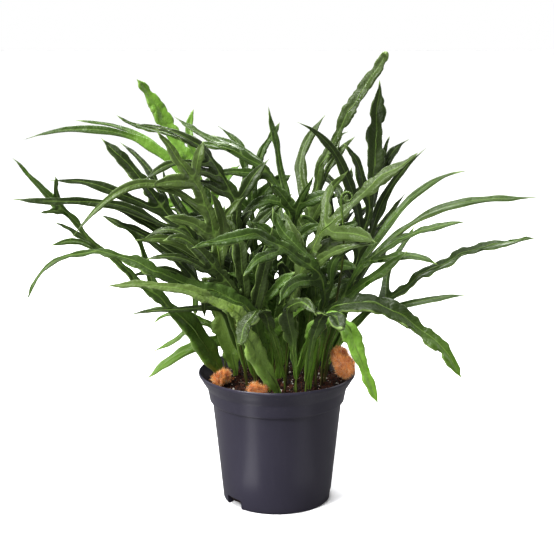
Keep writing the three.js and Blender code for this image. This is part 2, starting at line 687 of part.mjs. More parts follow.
    name: 'frond_low_back_left', tone: 'dark', root: [-38, 22], leafFrom: 0.26, face: [0.15, -0.5, 0.85],
    widths: [[0, 2.6], [0.2, 3], [0.5, 5], [0.85, 4.4], [1, 0.9]],
    spine: [[-54, 34, 38], [-78, 38, 52], [-106, 38, 62], [-137, 30, 61]],
    lobes: [
      { at: 0.05, side: 'left', path: [[-74, 18, 34], [-100, 8, 22], [-128, 0, -1]], width: 13 },
      { at: 0.4, side: 'left', path: [[-96, 28, 36], [-124, 28, 20]], width: 6 },
      { at: 0.3, side: 'right', path: [[-88, 58, 50], [-112, 62, 52], [-127, 62, 38]], width: 8 },
    ],
  },
  {
    name: 'frond_thin_upright', tone: 'mid', root: [-6, 36], leafFrom: 0.4, face: [0.1, -0.9, 0.3],
    widths: slimWidths,
    spine: [[-20, 50, 90], [-25, 60, 165], [-15, 62, 212], [6, 60, 243]],
    lobes: [
      { at: 0.55, side: 'left', path: [[-38, 72, 222], [-62, 80, 240]], width: 8 },
      ...habit({ count: 3, reach: 66, from: 0, to: 0.45, lean: 0.75 }),
    ],
  },
  {
    name: 'frond_low_centre', tone: 'olive', root: [18, -51], leafFrom: 0.35, face: [0, -0.9, 0.4],
    widths: [[0, 2.6], [0.3, 3.4], [0.55, 6.5], [0.8, 6.5], [0.95, 3.4], [1, 0.9]],
    spine: [[14, -66, 62], [10, -80, 93], [20, -92, 105], [36, -104, 94]],
    lobes: [],
  },
  {
    name: 'frond_front_olive', tone: 'olive', root: [8, -40], leafFrom: 0.4, face: [0, 0.5, 0.9],
    widths: [[0, 2.6], [0.4, 4], [0.6, 8], [0.85, 8.5], [0.96, 5], [1, 0.9]],
    spine: [[-2, -64, 62], [-11, -86, 86], [-22, -116, 92], [-34, -159, 76]],
    lobes: [],
  },
  {
    name: 'frond_front_dark', tone: 'dark', root: [26, -48], leafFrom: 0.4, face: [0, 0.5, 0.9],
    widths: [[0, 2.6], [0.4, 4], [0.6, 8], [0.85, 8.5], [0.96, 5], [1, 0.9]],
    spine: [[32, -66, 58], [38, -88, 84], [46, -116, 94], [55, -150, 86]],
    lobes: [],
  },
  {
    name: 'frond_inner_left', tone: 'dark', root: [-18, 8], leafFrom: 0.36, face: [0.2, -0.85, 0.5],
    widths: slimWidths,
    spine: [[-26, 8, 74], [-36, 4, 124], [-50, -6, 164]],
    lobes: habit({ count: 3, reach: 60, from: 0, to: 0.8, lean: 0.7 }),
  },
  {
    name: 'frond_inner_right', tone: 'mid', root: [26, 24], leafFrom: 0.36, face: [-0.1, -0.9, 0.4],
    widths: slimWidths,
    spine: [[34, 22, 76], [44, 14, 124], [52, 4, 166]],
    lobes: habit({ count: 3, reach: 56, from: 0, to: 0.8, lean: 0.75 }),
  },
  {
    name: 'frond_inner_front', tone: 'bright', root: [-4, -18], leafFrom: 0.34, face: [0.1, -0.85, 0.5],
    widths: slimWidths,
    spine: [[-8, -24, 66], [-14, -32, 106], [-24, -44, 138]],
    lobes: habit({ count: 3, reach: 54, from: 0, to: 0.8, lean: 0.65 }),
  },
  {
    name: 'frond_base_left', tone: 'dark', root: [-40, 14], leafFrom: 0.14, face: [0.1, -0.9, 0.3],
    widths: baseWidths,
    spine: [[-48, 14, 40], [-56, 10, 80], [-72, 0, 106]],
    lobes: [],
  },
  {
    name: 'frond_base_centre', tone: 'dark', root: [2, 8], leafFrom: 0.14, face: [0, -0.9, 0.3],
    widths: baseWidths,
    spine: [[6, 8, 45], [8, 4, 88], [0, -8, 122]],
    lobes: [],
  },
  {
    name: 'frond_base_right', tone: 'mid', root: [18, 34], leafFrom: 0.14, face: [-0.1, -0.9, 0.3],
    widths: baseWidths,
    spine: [[24, 36, 45], [30, 34, 88], [42, 24, 122]],
    lobes: [],
  },
  {
    name: 'frond_base_far_right', tone: 'dark', root: [46, 24], leafFrom: 0.14, face: [-0.2, -0.9, 0.3],
    widths: baseWidths,
    spine: [[54, 24, 40], [62, 22, 76], [80, 12, 102]],
    lobes: [],
  },
  {
    name: 'frond_base_back', tone: 'dark', root: [-20, 40], leafFrom: 0.14, face: [0.1, -0.9, 0.2],
    widths: baseWidths,
    spine: [[-24, 46, 45], [-26, 50, 88], [-16, 50, 126]],
    lobes: [],
  },
  {
    name: 'frond_mid_centre', tone: 'mid', root: [-2, 20], leafFrom: 0.36, face: [0.2, -0.9, 0.4],
    widths: slimWidths,
    spine: [[6, 26, 80], [12, 26, 128], [20, 18, 172], [32, 8, 202]],
    lobes: habit({ count: 3, reach: 62, from: 0, to: 0.8, lean: 0.7 }),
  },
  {
    name: 'frond_mid_right', tone: 'dark', root: [34, 36], leafFrom: 0.36, face: [-0.2, -0.9, 0.4],
    widths: slimWidths,
    spine: [[46, 46, 70], [60, 52, 120], [68, 56, 164], [74, 60, 202]],
    lobes: habit({ count: 3, reach: 58, from: 0, to: 0.8, lean: 0.75 }),
  },
  {
    name: 'frond_mid_back_left', tone: 'mid', root: [-14, 22], leafFrom: 0.36, face: [0.3, -0.7, 0.6],
    widths: slimWidths,
    spine: [[-28, 28, 70], [-48, 26, 118], [-70, 18, 156], [-96, 12, 184]],
    lobes: habit({ count: 3, reach: 60, from: 0, to: 0.8, lean: 0.7 }),
  },
  {
    name: 'frond_back_centre', tone: 'mid', root: [2, 54], leafFrom: 0.32, face: [0, -0.5, 0.9],
    widths: slimWidths,
    spine: [[-4, 78, 80], [0, 107, 134], [5, 134, 158]],
    lobes: habit({ count: 4, reach: 86, from: 0, to: 0.9, lean: 0.55, droop: 0.18 }),
  },
  {
    name: 'frond_back_left', tone: 'bright', root: [-28, 46], leafFrom: 0.32, face: [0.3, 0.5, 0.8],
    widths: slimWidths,
    spine: [[-50, 70, 76], [-76, 100, 122], [-98, 130, 136]],
    lobes: habit({ count: 4, reach: 84, from: 0, to: 0.9, lean: 0.6, droop: 0.2 }),
  },
  {
    name: 'frond_back_right', tone: 'dark', root: [26, 46], leafFrom: 0.32, face: [-0.3, 0.5, 0.8],
    widths: slimWidths,
    spine: [[44, 72, 80], [68, 102, 128], [90, 132, 140]],
    lobes: habit({ count: 4, reach: 84, from: 0.16, to: 0.9, lean: 0.6, droop: 0.2 }),
  },
  {
    name: 'frond_far_right', tone: 'mid', root: [50, 30], leafFrom: 0.32, face: [-0.5, 0.3, 0.8],
    widths: slimWidths,
    spine: [[70, 50, 66], [98, 74, 108], [126, 96, 120]],
    lobes: habit({ count: 3, reach: 72, from: 0, to: 0.85, lean: 0.65, droop: 0.2 }),
  },
  {
    name: 'frond_far_left', tone: 'dark', root: [-50, 32], leafFrom: 0.32, face: [0.5, 0.3, 0.8],
    widths: slimWidths,
    spine: [[-66, 56, 62], [-92, 84, 100], [-118, 108, 108]],
    lobes: habit({ count: 3, reach: 70, from: 0, to: 0.85, lean: 0.65, droop: 0.2 }),
  },
];

// A young frond, still coiled: a thin stalk that ends in a flat spiral.
const youngFrond = {
  root: [46, -2], spine: [[54, -12, 70], [60, -44, 142]], thickness: 2.2,
  coilCentre: [62, -60, 186], coilRadius: 5.5, coilEndRadius: 1.65, coilTurns: 1.25,
};

function makeYoungFrond(grow) {
  const { root, spine, thickness, coilCentre, coilRadius, coilEndRadius, coilTurns } = youngFrond;
  const centre = plantPoint(coilCentre);
  const points = [rootPoint(root, -rootDepth - grow), rootPoint(root, rootRise), ...spine.map(plantPoint)];
  const coilPoints = 14;
  for (let i = 0; i <= coilPoints; i += 1) {
    const around = Math.PI + i / coilPoints * coilTurns * 2 * Math.PI;
    const radius = THREE.MathUtils.lerp(coilRadius, coilEndRadius, i / coilPoints);
    const offset = new THREE.Vector3(Math.cos(around) * radius, 0, -Math.sin(around) * radius);
    points.push(centre.clone().add(offset));
  }
  const path = new THREE.CatmullRomCurve3(points, false, 'centripetal');
  const section = new THREE.Shape();
  section.absarc(0, 0, thickness / 2 + grow, 0, 2 * Math.PI);
  const tube = new THREE.ExtrudeGeometry(section, { steps: 46, curveSegments: 6, extrudePath: path });
  return plainBody(tube);
}

const leafTones = { dark: '#2f4a1f', mid: '#43702f', bright: '#5a8f38', olive: '#5f6d45' };

// ---- soil ----

const soilRings = [0.86, 0.62, 0.34, 0]; // shares of the soil's radius; its rim stays level

function makeSoil(neighbours) {
  const edge = innerWall.slice(0, -1).map(([radius, height]) => [radius - fit, height + fit]);
  const profile = [[0, floorLift + wallThickness + fit], ...edge, [soilRadius, soilLevel]];
  for (const share of soilRings) {
    profile.push([soilRadius * share, soilLevel]);
  }
  const geometry = turned(profile, soilSegments);
  const place = geometry.attributes.position;
  for (let i = 0; i < place.count; i += 1) {
    const isInside = Math.hypot(place.getX(i), place.getY(i)) < soilRadius * (1 + soilRings[0]) / 2;
    if (isInside && place.getZ(i) > collarTop) {
      const lump = Math.sin(place.getX(i) * 0.19 + 1) * Math.cos(place.getY(i) * 0.23);
      place.setZ(i, soilLevel - soilLumps + soilLumps * lump);
    }
  }
  let soil = toSolid(geometry);
  for (const neighbour of neighbours) {
    soil = soil.subtract(neighbour);
  }
  return toGeometry(soil);
}

// ---- the object ----

const plant = new THREE.Group();
const potGeometry = makePot();
plant.add(piece('pot', potGeometry, '#3e3c46', 0.42));

const bedFit = 1.5 * fit; // a rhizome's bed is a little wider, as its knobs are faceted
const taken = [toSolid(potGeometry)];
const soilNeighbours = [];
for (const spec of rhizomes) {
  const geometry = makeRhizome(spec);
  plant.add(piece(spec.name, geometry, '#b8662f', 0.95));
  taken.push(toSolid(geometry));
  const bed = makeRhizome({ ...spec, length: spec.length + 2 * fit, girth: spec.girth + 2 * bedFit });
  soilNeighbours.push(toSolid(bed));
}

const youngGeometry = makeYoungFrond(0);
plant.add(piece('young_frond', youngGeometry, '#6d7a3c', 0.6));
taken.push(toSolid(youngGeometry));
soilNeighbours.push(toSolid(makeYoungFrond(socketFit)));

for (const spec of fronds) {
  const swing = findRoom((way) => clashWith(ribSolid(spec, way, leafGap), taken)) ?? new THREE.Vector3();
  const rib = makeRib(spec, swing, 0);
  const lobes = placeLobes(spec, rib, ribSolid(spec, swing, 0), taken);
  soilNeighbours.push(ribSolid(spec, swing, socketFit));
  const geometry = buildSkin(rib, lobes);
  plant.add(piece(spec.name, geometry, leafTones[spec.tone], 0.45));
  taken.push(toSolid(geometry));
}

plant.add(piece('soil', makeSoil(soilNeighbours), '#2b211d', 0.98));

export default plant;
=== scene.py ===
import json
import math
import random

import bmesh
import bpy
import numpy as np
from mathutils import Euler, Matrix, Quaternion, Vector


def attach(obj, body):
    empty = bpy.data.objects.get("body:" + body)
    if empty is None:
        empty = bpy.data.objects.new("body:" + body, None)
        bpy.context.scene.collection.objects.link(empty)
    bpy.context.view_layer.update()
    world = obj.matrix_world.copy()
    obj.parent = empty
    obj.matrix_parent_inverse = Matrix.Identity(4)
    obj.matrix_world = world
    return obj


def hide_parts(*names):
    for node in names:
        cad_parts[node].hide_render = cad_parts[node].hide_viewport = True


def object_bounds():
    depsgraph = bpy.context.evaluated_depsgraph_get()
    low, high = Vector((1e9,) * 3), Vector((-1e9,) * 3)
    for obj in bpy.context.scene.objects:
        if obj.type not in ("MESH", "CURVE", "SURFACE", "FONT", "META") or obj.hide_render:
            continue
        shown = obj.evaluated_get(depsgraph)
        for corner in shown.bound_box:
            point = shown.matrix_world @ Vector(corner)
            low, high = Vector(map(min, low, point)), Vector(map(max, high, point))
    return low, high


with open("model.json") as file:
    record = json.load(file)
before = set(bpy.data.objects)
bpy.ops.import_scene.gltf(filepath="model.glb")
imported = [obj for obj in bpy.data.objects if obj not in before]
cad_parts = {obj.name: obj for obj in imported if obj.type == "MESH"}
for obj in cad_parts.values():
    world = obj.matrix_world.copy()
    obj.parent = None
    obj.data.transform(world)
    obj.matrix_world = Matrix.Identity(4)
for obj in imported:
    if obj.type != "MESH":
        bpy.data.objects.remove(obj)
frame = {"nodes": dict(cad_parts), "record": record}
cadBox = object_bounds()
print("frame loaded:", len(frame["nodes"]), "nodes")

mm = 0.001


# view

view = {"target": (0, 0, 0.217), "distance": 1.10, "elevation": 11.8, "lens": 75.8}


def addCamera():
    tilt = math.radians(view["elevation"])
    x, y, z = view["target"]
    place = (x, y - view["distance"] * math.cos(tilt), z + view["distance"] * math.sin(tilt))
    bpy.ops.object.camera_add(location=place, rotation=(math.pi / 2 - tilt, 0, 0))
    camera = bpy.context.object
    camera.data.lens = view["lens"]
    camera.data.clip_start = 0.05
    bpy.context.scene.camera = camera


addCamera()


# working by hand


def deselectAll():
    if bpy.context.object and bpy.context.object.mode != "OBJECT":
        bpy.ops.object.mode_set(mode="OBJECT")
    bpy.ops.object.select_all(action="DESELECT")


def pick(thing):
    deselectAll()
    thing.select_set(True)
    bpy.context.view_layer.objects.active = thing


def applyModifiers(thing):
    pick(thing)
    for modifier in list(thing.modifiers):
        bpy.ops.object.modifier_apply(modifier=modifier.name)


def join(things):
    deselectAll()
    for thing in things:
        thing.select_set(True)
    bpy.context.view_layer.objects.active = things[0]
    bpy.ops.object.join()
    return things[0]


def finishPiece(thing, name, nodes=()):
    pick(thing)
    bpy.ops.object.transform_apply(location=True, rotation=True, scale=True)
    thing.name = name
    thing.data.name = name
    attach(thing, "root")
    if nodes:
        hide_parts(*nodes)


# materials


def linear(red, green, blue):
    # screen colour, 0 to 255, to the light values that a shader takes
    def one(value):
        value /= 255
        return value / 12.92 if value <= 0.04045 else ((value + 0.055) / 1.055) ** 2.4
    return (one(red), one(green), one(blue), 1)


def newMaterial(name, roughness):
    material = bpy.data.materials.new(name)
    material.use_nodes = True
    shader = material.node_tree.nodes["Principled BSDF"]
    shader.inputs["Roughness"].default_value = roughness
    return material, material.node_tree, shader


def node(tree, kind, **settings):
    made = tree.nodes.new(kind)
    for key, value in settings.items():
        if hasattr(made, key):
            setattr(made, key, value)
        else:
            made.inputs[key.replace("_", " ")].default_value = value
    return made


def mixColour(tree, factor, first, second, blend="MIX"):
    mix = tree.nodes.new("ShaderNodeMix")
    mix.data_type = "RGBA"
    mix.blend_type = blend
    for socket, value in ((mix.inputs[0], factor), (mix.inputs[6], first), (mix.inputs[7], second)):
        if isinstance(value, bpy.types.NodeSocket):
            tree.links.new(value, socket)
        else:
            socket.default_value = value
    return mix.outputs[2]


def ramp(tree, value, stops):
    made = tree.nodes.new("ShaderNodeValToRGB")
    tree.links.new(value, made.inputs[0])
    while len(made.color_ramp.elements) < len(stops):
        made.color_ramp.elements.new(0.5)
    for element, (place, colour) in zip(made.color_ramp.elements, stops):
        element.position = place
        element.color = colour if len(colour) == 4 else (*colour, 1)
    return made.outputs[0]


def grey(value):
    return (value, value, value, 1)


def noiseOn(tree, vector, scale, detail=3.0, roughness=0.55):
    noise = node(tree, "ShaderNodeTexNoise", Scale=scale, Detail=detail, Roughness=roughness)
    tree.links.new(vector, noise.inputs["Vector"])
    return noise.outputs["Fac"]


def mapRange(tree, value, low, high, toLow, toHigh):
    made = node(tree, "ShaderNodeMapRange")
    made.inputs["From Min"].default_value = low
    made.inputs["From Max"].default_value = high
    made.inputs["To Min"].default_value = toLow
    made.inputs["To Max"].default_value = toHigh
    tree.links.new(value, made.inputs["Value"])
    return made.outputs[0]


def bump(tree, shader, height, strength, distance):
    made = node(tree, "ShaderNodeBump", Strength=strength, Distance=distance)
    tree.links.new(height, made.inputs["Height"])
    tree.links.new(made.outputs[0], shader.inputs["Normal"])


def objectPlace(tree):
    return tree.nodes.new("ShaderNodeTexCoord").outputs["Object"]


def attribute(tree, name):
    return node(tree, "ShaderNodeAttribute", attribute_name=name).outputs["Fac"]


# leaf finishes, an upper and a lower side for each tone in the record, and for the palest fronds
leafTones = {
    "leaf_dark": {"deep": (14, 28, 2), "light": (56, 82, 18), "under": (50, 66, 26)},
    "leaf_mid": {"deep": (22, 46, 3), "light": (76, 116, 26), "under": (66, 90, 34)},
    "leaf_bright": {"deep": (50, 98, 8), "light": (130, 188, 46), "under": (108, 146, 54)},
    "leaf_olive": {"deep": (26, 42, 4), "light": (76, 100, 32), "under": (76, 94, 44)},
    "leaf_pale": {"deep": (92, 118, 42), "light": (158, 180, 92), "under": (128, 152, 78)},
}
leafFinish = {
    "gloss": (0.14, 0.3), "dull": (0.32, 0.5), "specular": 0.42, "shine": 160,
    "patch": 26, "patchEdge": (0.35, 0.65), "underStep": 16, "shade": (15, 32, 1),
    "young": (124, 166, 56), "youngHeight": (0.11, 0.2), "youngShare": 0.7,
    "rib": (132, 160, 84), "ribHalf": (0.1 * mm, 0.45 * mm), "ribShare": 0.5,
    "veinGap": 3.4 * mm, "veinLean": 0.9, "veinShare": 0.08,
    "margin": (146, 170, 100), "marginDark": (84, 112, 48), "marginLine": (0.84, 0.97), "marginShare": 0.75,
    "pucker": 150, "puckerHeight": 16, "ridgeHeight": 0.7, "relief": 0.2 * mm,
}


def leafMaterial(slotName, side):
    tone = leafTones[slotName]
    material, tree, shader = newMaterial(slotName + "_" + side, 0.4)
    place = objectPlace(tree)
    vein = attribute(tree, "vein")
    run = attribute(tree, "run")
    patches = mapRange(tree, noiseOn(tree, place, leafFinish["patch"]), *leafFinish["patchEdge"], 0.0, 1.0)
    if side == "top":
        colour = mixColour(tree, patches, linear(*tone["deep"]), linear(*tone["light"]))
    else:
        paler = linear(*[min(255, value + leafFinish["underStep"]) for value in tone["under"]])
        colour = mixColour(tree, patches, linear(*tone["under"]), paler)
    colour = mixColour(tree, attribute(tree, "tint"), colour, linear(*leafFinish["shade"]))
    # blades are paler near the soil
    height = node(tree, "ShaderNodeSeparateXYZ")
    tree.links.new(place, height.inputs[0])
    low, high = leafFinish["youngHeight"]
    nearSoil = mapRange(tree, height.outputs[2], low, high, leafFinish["youngShare"], 0.0)
    colour = mixColour(tree, nearSoil, colour, linear(*leafFinish["young"]))
    # side veins lean towards the tip as they leave the midvein
    phase = node(tree, "ShaderNodeMath", operation="MULTIPLY_ADD")
    tree.links.new(vein, phase.inputs[0])
    phase.inputs[1].default_value = -leafFinish["veinLean"]
    tree.links.new(run, phase.inputs[2])
    turns = node(tree, "ShaderNodeMath", operation="MULTIPLY")
    tree.links.new(phase.outputs[0], turns.inputs[0])
    turns.inputs[1].default_value = 2 * math.pi / leafFinish["veinGap"]
    wave = node(tree, "ShaderNodeMath", operation="SINE")
    tree.links.new(turns.outputs[0], wave.inputs[0])
    sideVeins = mapRange(tree, wave.outputs[0], 0.85, 1.0, 0.0, leafFinish["veinShare"])
    colour = mixColour(tree, sideVeins, colour, linear(*leafFinish["rib"]))
    midVein = mapRange(tree, vein, *leafFinish["ribHalf"], leafFinish["ribShare"], 0.0)
    colour = mixColour(tree, midVein, colour, linear(*leafFinish["rib"]))
    # "edge" is 0 along the midvein and 1 at the margin, which is paler
    edge = attribute(tree, "edge")
    edgeLine = mapRange(tree, edge, *leafFinish["marginLine"], 0.0, leafFinish["marginShare"])
    colour = mixColour(tree, edgeLine, colour, linear(*leafFinish["margin"]))
    tree.links.new(colour, shader.inputs["Base Color"])
    shine = noiseOn(tree, place, leafFinish["shine"], 2)
    low, high = leafFinish["gloss"] if side == "top" else leafFinish["dull"]
    tree.links.new(mapRange(tree, shine, 0.3, 0.7, low, high), shader.inputs["Roughness"])
    shader.inputs["Specular IOR Level"].default_value = leafFinish["specular"]
    # ridges between the side veins, over shallow puckers
    puckers = node(tree, "ShaderNodeMath", operation="MULTIPLY_ADD")
    tree.links.new(noiseOn(tree, place, leafFinish["pucker"], 3), puckers.inputs[0])
    puckers.inputs[1].default_value = leafFinish["puckerHeight"]
    ridges = mapRange(tree, wave.outputs[0], -1.0, 1.0, 0.0, leafFinish["ridgeHeight"])
    tree.links.new(ridges, puckers.inputs[2])
    bump(tree, shader, puckers.outputs[0], 0.5, leafFinish["relief"])
    return material


def marginMaterial():
    material, tree, shader = newMaterial("leaf_margin", 0.5)
    specks = noiseOn(tree, objectPlace(tree), 220)
    colour = mixColour(tree, specks, linear(*leafFinish["margin"]), linear(*leafFinish["marginDark"]))
    tree.links.new(colour, shader.inputs["Base Color"])
    return material


stalkFinish = {
    "rise": [(0.0, (48, 34, 20)), (0.14, (66, 64, 28)), (0.42, (84, 100, 36)), (0.6, (96, 126, 52))],
    "streak": (150, 150, 84), "streakScale": (900, 900, 40), "relief": 0.2 * mm,
}


def stalkMaterial():
    material, tree, shader = newMaterial("stalk_skin", 0.42)
    place = objectPlace(tree)
    # "run" is 0 at the foot of the stalk, 1 where the blade starts and 2 at the tip
    rise = mapRange(tree, attribute(tree, "run"), 0.0, 2.0, 0.0, 1.0)
    colour = ramp(tree, rise, [(stop, linear(*shade)) for stop, shade in stalkFinish["rise"]])
    streaks = node(tree, "ShaderNodeMapping")
    streaks.inputs["Scale"].default_value = stalkFinish["streakScale"]
    tree.links.new(place, streaks.inputs[0])
    streak = noiseOn(tree, streaks.outputs[0], 1.0, 2)
    streakShare = mapRange(tree, streak, 0.45, 0.75, 0.0, 0.45)
    colour = mixColour(tree, streakShare, colour, linear(*stalkFinish["streak"]))
    tree.links.new(colour, shader.inputs["Base Color"])
    bump(tree, shader, streak, 0.2, stalkFinish["relief"])
    return material


# fronds: the CAD skin of each gives its middle surface, which is smoothed, ruffled and given a thin wall
frondShape = {
    "weld": 0.02 * mm,
    "lobeGap": 1.4 * mm,
    "stalkHalf": 3.1 * mm,
    "levels": 2,
    "thickness": 0.5 * mm,
    "wave": 9 * mm, "waveSize": 14 * mm,
    "ragged": 4.4 * mm, "raggedSize": 6 * mm,
    "crown": 2.8 * mm,
    "fullMargin": 9 * mm,
    "broaden": 1.3,
    "sway": 9 * mm, "swaySize": 26 * mm, "swayHeight": (0.13, 0.19),
    "ribEnd": 0.5, "tipAngle": 2.0,
    "wingFrom": 0.08, "wing": (1.4 * mm, 9.5 * mm),
    "stalk": (1.6 * mm, 0.8 * mm, 0.22 * mm),
}


def pairSides(skin):
    # the two sides of the skin mirror each other and share the margin, so walking both
    # at once from the cut foot pairs up their points and faces
    foot = sorted(skin.verts, key=lambda point: point.co.z)[:4]
    caps = [face for face in skin.faces if all(point in foot for point in face.verts)]
    fold = next(edge for edge in caps[0].edges if edge in caps[1].edges[:])
    one, other = fold.verts
    twin = {one: other}
    faces = {}
    queue = []

    def edgeOf(face, a, b):
        return next(edge for edge in face.edges if a in edge.verts and b in edge.verts)

    for cap in caps:
        side = next(point for point in cap.verts if point not in fold.verts)
        twin[side] = side
        queue.append((edgeOf(cap, one, side), edgeOf(cap, other, side), cap, cap))
    while queue:
        edge, twinEdge, source, twinSource = queue.pop()
        face = next(each for each in edge.link_faces if each is not source)
        twinFace = next(each for each in twinEdge.link_faces if each is not twinSource)
        if face in faces:
            continue
        faces[face] = twinFace
        far = next(point for point in face.verts if point not in edge.verts)
        twin[far] = next(point for point in twinFace.verts if point not in twinEdge.verts)
        for near in edge.verts:
            nextEdge = edgeOf(face, near, far)
            nextTwin = edgeOf(twinFace, twin[near], twin[far])
            if nextEdge is not nextTwin:
                queue.append((nextEdge, nextTwin, face, twinFace))
    return twin, faces, one


def middleSheet(cadNode):
    skin = bmesh.new()
    skin.from_mesh(cadNode.data)
    veinLayer = skin.verts.layers.float.new("vein")
    runLayer = skin.verts.layers.float.new("run")
    edgeLayer = skin.verts.layers.float.new("edge")
    creaseLayer = skin.verts.layers.float.new("crease_vert")
    bmesh.ops.remove_doubles(skin, verts=skin.verts, dist=frondShape["weld"])
    twin, faces, foot = pairSides(skin)
    lean = sum((face.normal * face.calc_area() for face in faces), Vector())
    if lean.dot(Vector((0, -0.3, 1))) < 0:
        foot = twin[foot]
        twin = {other: one for one, other in twin.items()}
        faces = {other: one for one, other in faces.items()}
    gap = {point: (point.co - other.co).length for point, other in twin.items()}
    middle = {point: (point.co + other.co) / 2 for point, other in twin.items()}
    for point, place in middle.items():
        point.co = place
    bmesh.ops.delete(skin, geom=[face for face in skin.faces if face not in faces], context="FACES")

    inside = {point for point in skin.verts if gap[point] > 0}
    near = {point: [edge.other_vert(point) for edge in point.link_edges] for point in skin.verts}
    run = {foot: 0.0}
    queue = [foot]
    while queue:
        queue.sort(key=lambda point: -run[point])
        point = queue.pop()
        for other in near[point]:
            if other in inside and other not in run:
                run[other] = run[point] + (other.co - point.co).length
                queue.append(other)
    vein = dict.fromkeys(inside, 0.0)
    for point in skin.verts:
        if point not in inside:
            closest = min((other for other in near[point] if other in inside),
                          key=lambda other: (other.co - point.co).length)
            vein[point] = (closest.co - point.co).length
            run[point] = run[closest]

    # the rib runs up the middle; its points are further apart through the skin than a lobe's
    rib = [foot]
    while True:
        ahead = [point for point in near[rib[-1]] if point in inside and gap[point] > frondShape["lobeGap"]
                 and point not in rib]
        if not ahead:
            break
        rib.append(min(ahead, key=lambda point: run[point]))
    heading = (rib[-1].co - rib[-2].co).normalized()
    tip = max((point for point in near[rib[-1]] if point not in inside),
              key=lambda point: (point.co - rib[-1].co).normalized().dot(heading))
    leafFrom = 0
    for i, point in enumerate(rib):
        margins = [vein[other] for other in near[point] if other not in inside]
        isBare = len(margins) > 0 and min(margins) < frondShape["stalkHalf"]
        hasLobe = any(other in inside and gap[other] < frondShape["lobeGap"] for other in near[point])
        if hasLobe or not isBare:
            leafFrom = max(1, i - 1)
            break

    ribPlaces = [point.co.copy() for point in rib] + [rib[-1].co.lerp(tip.co, frondShape["ribEnd"])]
    for point in skin.verts:
        if point not in inside and point is not tip:
            anchor = min((other for other in near[point] if other in inside),
                         key=lambda other: (other.co - point.co).length)
            if sum(loop.calc_angle() for loop in point.link_loops) > frondShape["tipAngle"]:
                point.co = anchor.co + (point.co - anchor.co) * frondShape["broaden"]
    # a narrow wing runs down the upper part of the stalk
    stalkRun = run[rib[leafFrom]]
    wingStart = stalkRun * frondShape["wingFrom"]
    first = next(i for i, point in enumerate(rib) if run[point] >= wingStart or i == leafFrom)
    wingRun = run[rib[first]]
    narrow, wide = frondShape["wing"]
    for point in skin.verts:
        if point not in inside and run[point] <= stalkRun + 1e-9:
            anchor = min((other for other in near[point] if other in inside),
                         key=lambda other: (other.co - point.co).length)
            share = max(0, (run[point] - wingRun) / max(1e-6, stalkRun - wingRun))
            half = narrow + (wide - narrow) * share ** 1.3
            point.co = anchor.co + (point.co - anchor.co).normalized() * half
    bare = [face for face in skin.faces if max(run[point] for point in face.verts) <= wingRun + 1e-9]
    for point in skin.verts:
        point[veinLayer] = vein[point]
        point[runLayer] = run[point]
        point[edgeLayer] = 0 if point in inside else 1
        cornerAngle = sum(loop.calc_angle() for loop in point.link_loops)
        if point not in inside and cornerAngle < frondShape["tipAngle"]:
            point[creaseLayer] = 0.9
            point[veinLayer] = 0.0
    bmesh.ops.delete(skin, geom=bare, context="FACES")
    return skin, ribPlaces, leafFrom


def addRib(places, leafFrom, material, sizes):
    base, leafStart, tip = sizes
    curve = bpy.data.curves.new("rib", "CURVE")
    curve.dimensions = "3D"
    curve.bevel_depth = 1
    curve.bevel_resolution = 2
    curve.resolution_u = 5
    curve.use_fill_caps = True
    spline = curve.splines.new("BEZIER")
    spline.bezier_points.add(len(places) - 1)
    last = len(places) - 1
    for i, (point, place) in enumerate(zip(spline.bezier_points, places)):
        point.co = place
        point.handle_left_type = "AUTO"
        point.handle_right_type = "AUTO"
        if i < leafFrom:
            point.radius = base + (leafStart - base) * i / leafFrom
        else:
            point.radius = leafStart + (tip - leafStart) * (i - leafFrom) / (last - leafFrom)
    curve.materials.append(material)
    rib = bpy.data.objects.new("rib", curve)
    bpy.context.scene.collection.objects.link(rib)
    pick(rib)
    bpy.ops.object.convert(target="MESH")
    rib = bpy.context.object
    runs = []
    for point in rib.data.vertices:
        i = min(range(len(places)), key=lambda k: (places[k] - point.co).length)
        runs.append(i / leafFrom if i < leafFrom else 1 + (i - leafFrom) / (last - leafFrom))
    layer = rib.data.attributes.new("run", "FLOAT", "POINT")
    layer.data.foreach_set("value", runs)
    return rib


def cloudTexture(name, size):
    texture = bpy.data.textures.new(name, "CLOUDS")
    texture.noise_scale = size
    texture.noise_depth = 1
    return texture


waveCloud = cloudTexture("margin_wave", frondShape["waveSize"])
raggedCloud = cloudTexture("margin_ragged", frondShape["raggedSize"])
swayCloud = cloudTexture("frond_sway", frondShape["swaySize"])
for cloud in (raggedCloud, swayCloud):
    cloud.cloud_type = "COLOR"


def addDisplace(thing, name, strength, texture=None, direction="NORMAL", group="margin"):
    displace = thing.modifiers.new(name, "DISPLACE")
    displace.strength = strength
    displace.direction = direction
    displace.vertex_group = group
    if texture:
        displace.texture = texture
        displace.texture_coords = "LOCAL"
        displace.mid_level = 0.5
    else:
        displace.mid_level = 0
    return displace


def addSubdivision(thing, levels):
    subdivision = thing.modifiers.new("smooth", "SUBSURF")
    subdivision.levels = levels
    subdivision.render_levels = levels
    return subdivision


def addSway(thing):
    # blade and rib bend alike, and stay put near the soil
    low, high = frondShape["swayHeight"]
    free = thing.vertex_groups.new(name="free")
    for point in thing.data.vertices:
        free.add([point.index], min(1.0, max(0.0, (point.co.z - low) / (high - low))), "REPLACE")
    addDisplace(thing, "sway", frondShape["sway"], swayCloud, "RGB_TO_XYZ", "free")


def keepInside(thing, low, high):
    # no point leaves the CAD model's box
    count = len(thing.data.vertices)
    places = np.empty(count * 3, np.float32)
    thing.data.vertices.foreach_get("co", places)
    places = np.clip(places.reshape(-1, 3), np.array(low), np.array(high))
    thing.data.vertices.foreach_set("co", places.ravel().astype(np.float32))
    thing.data.update()


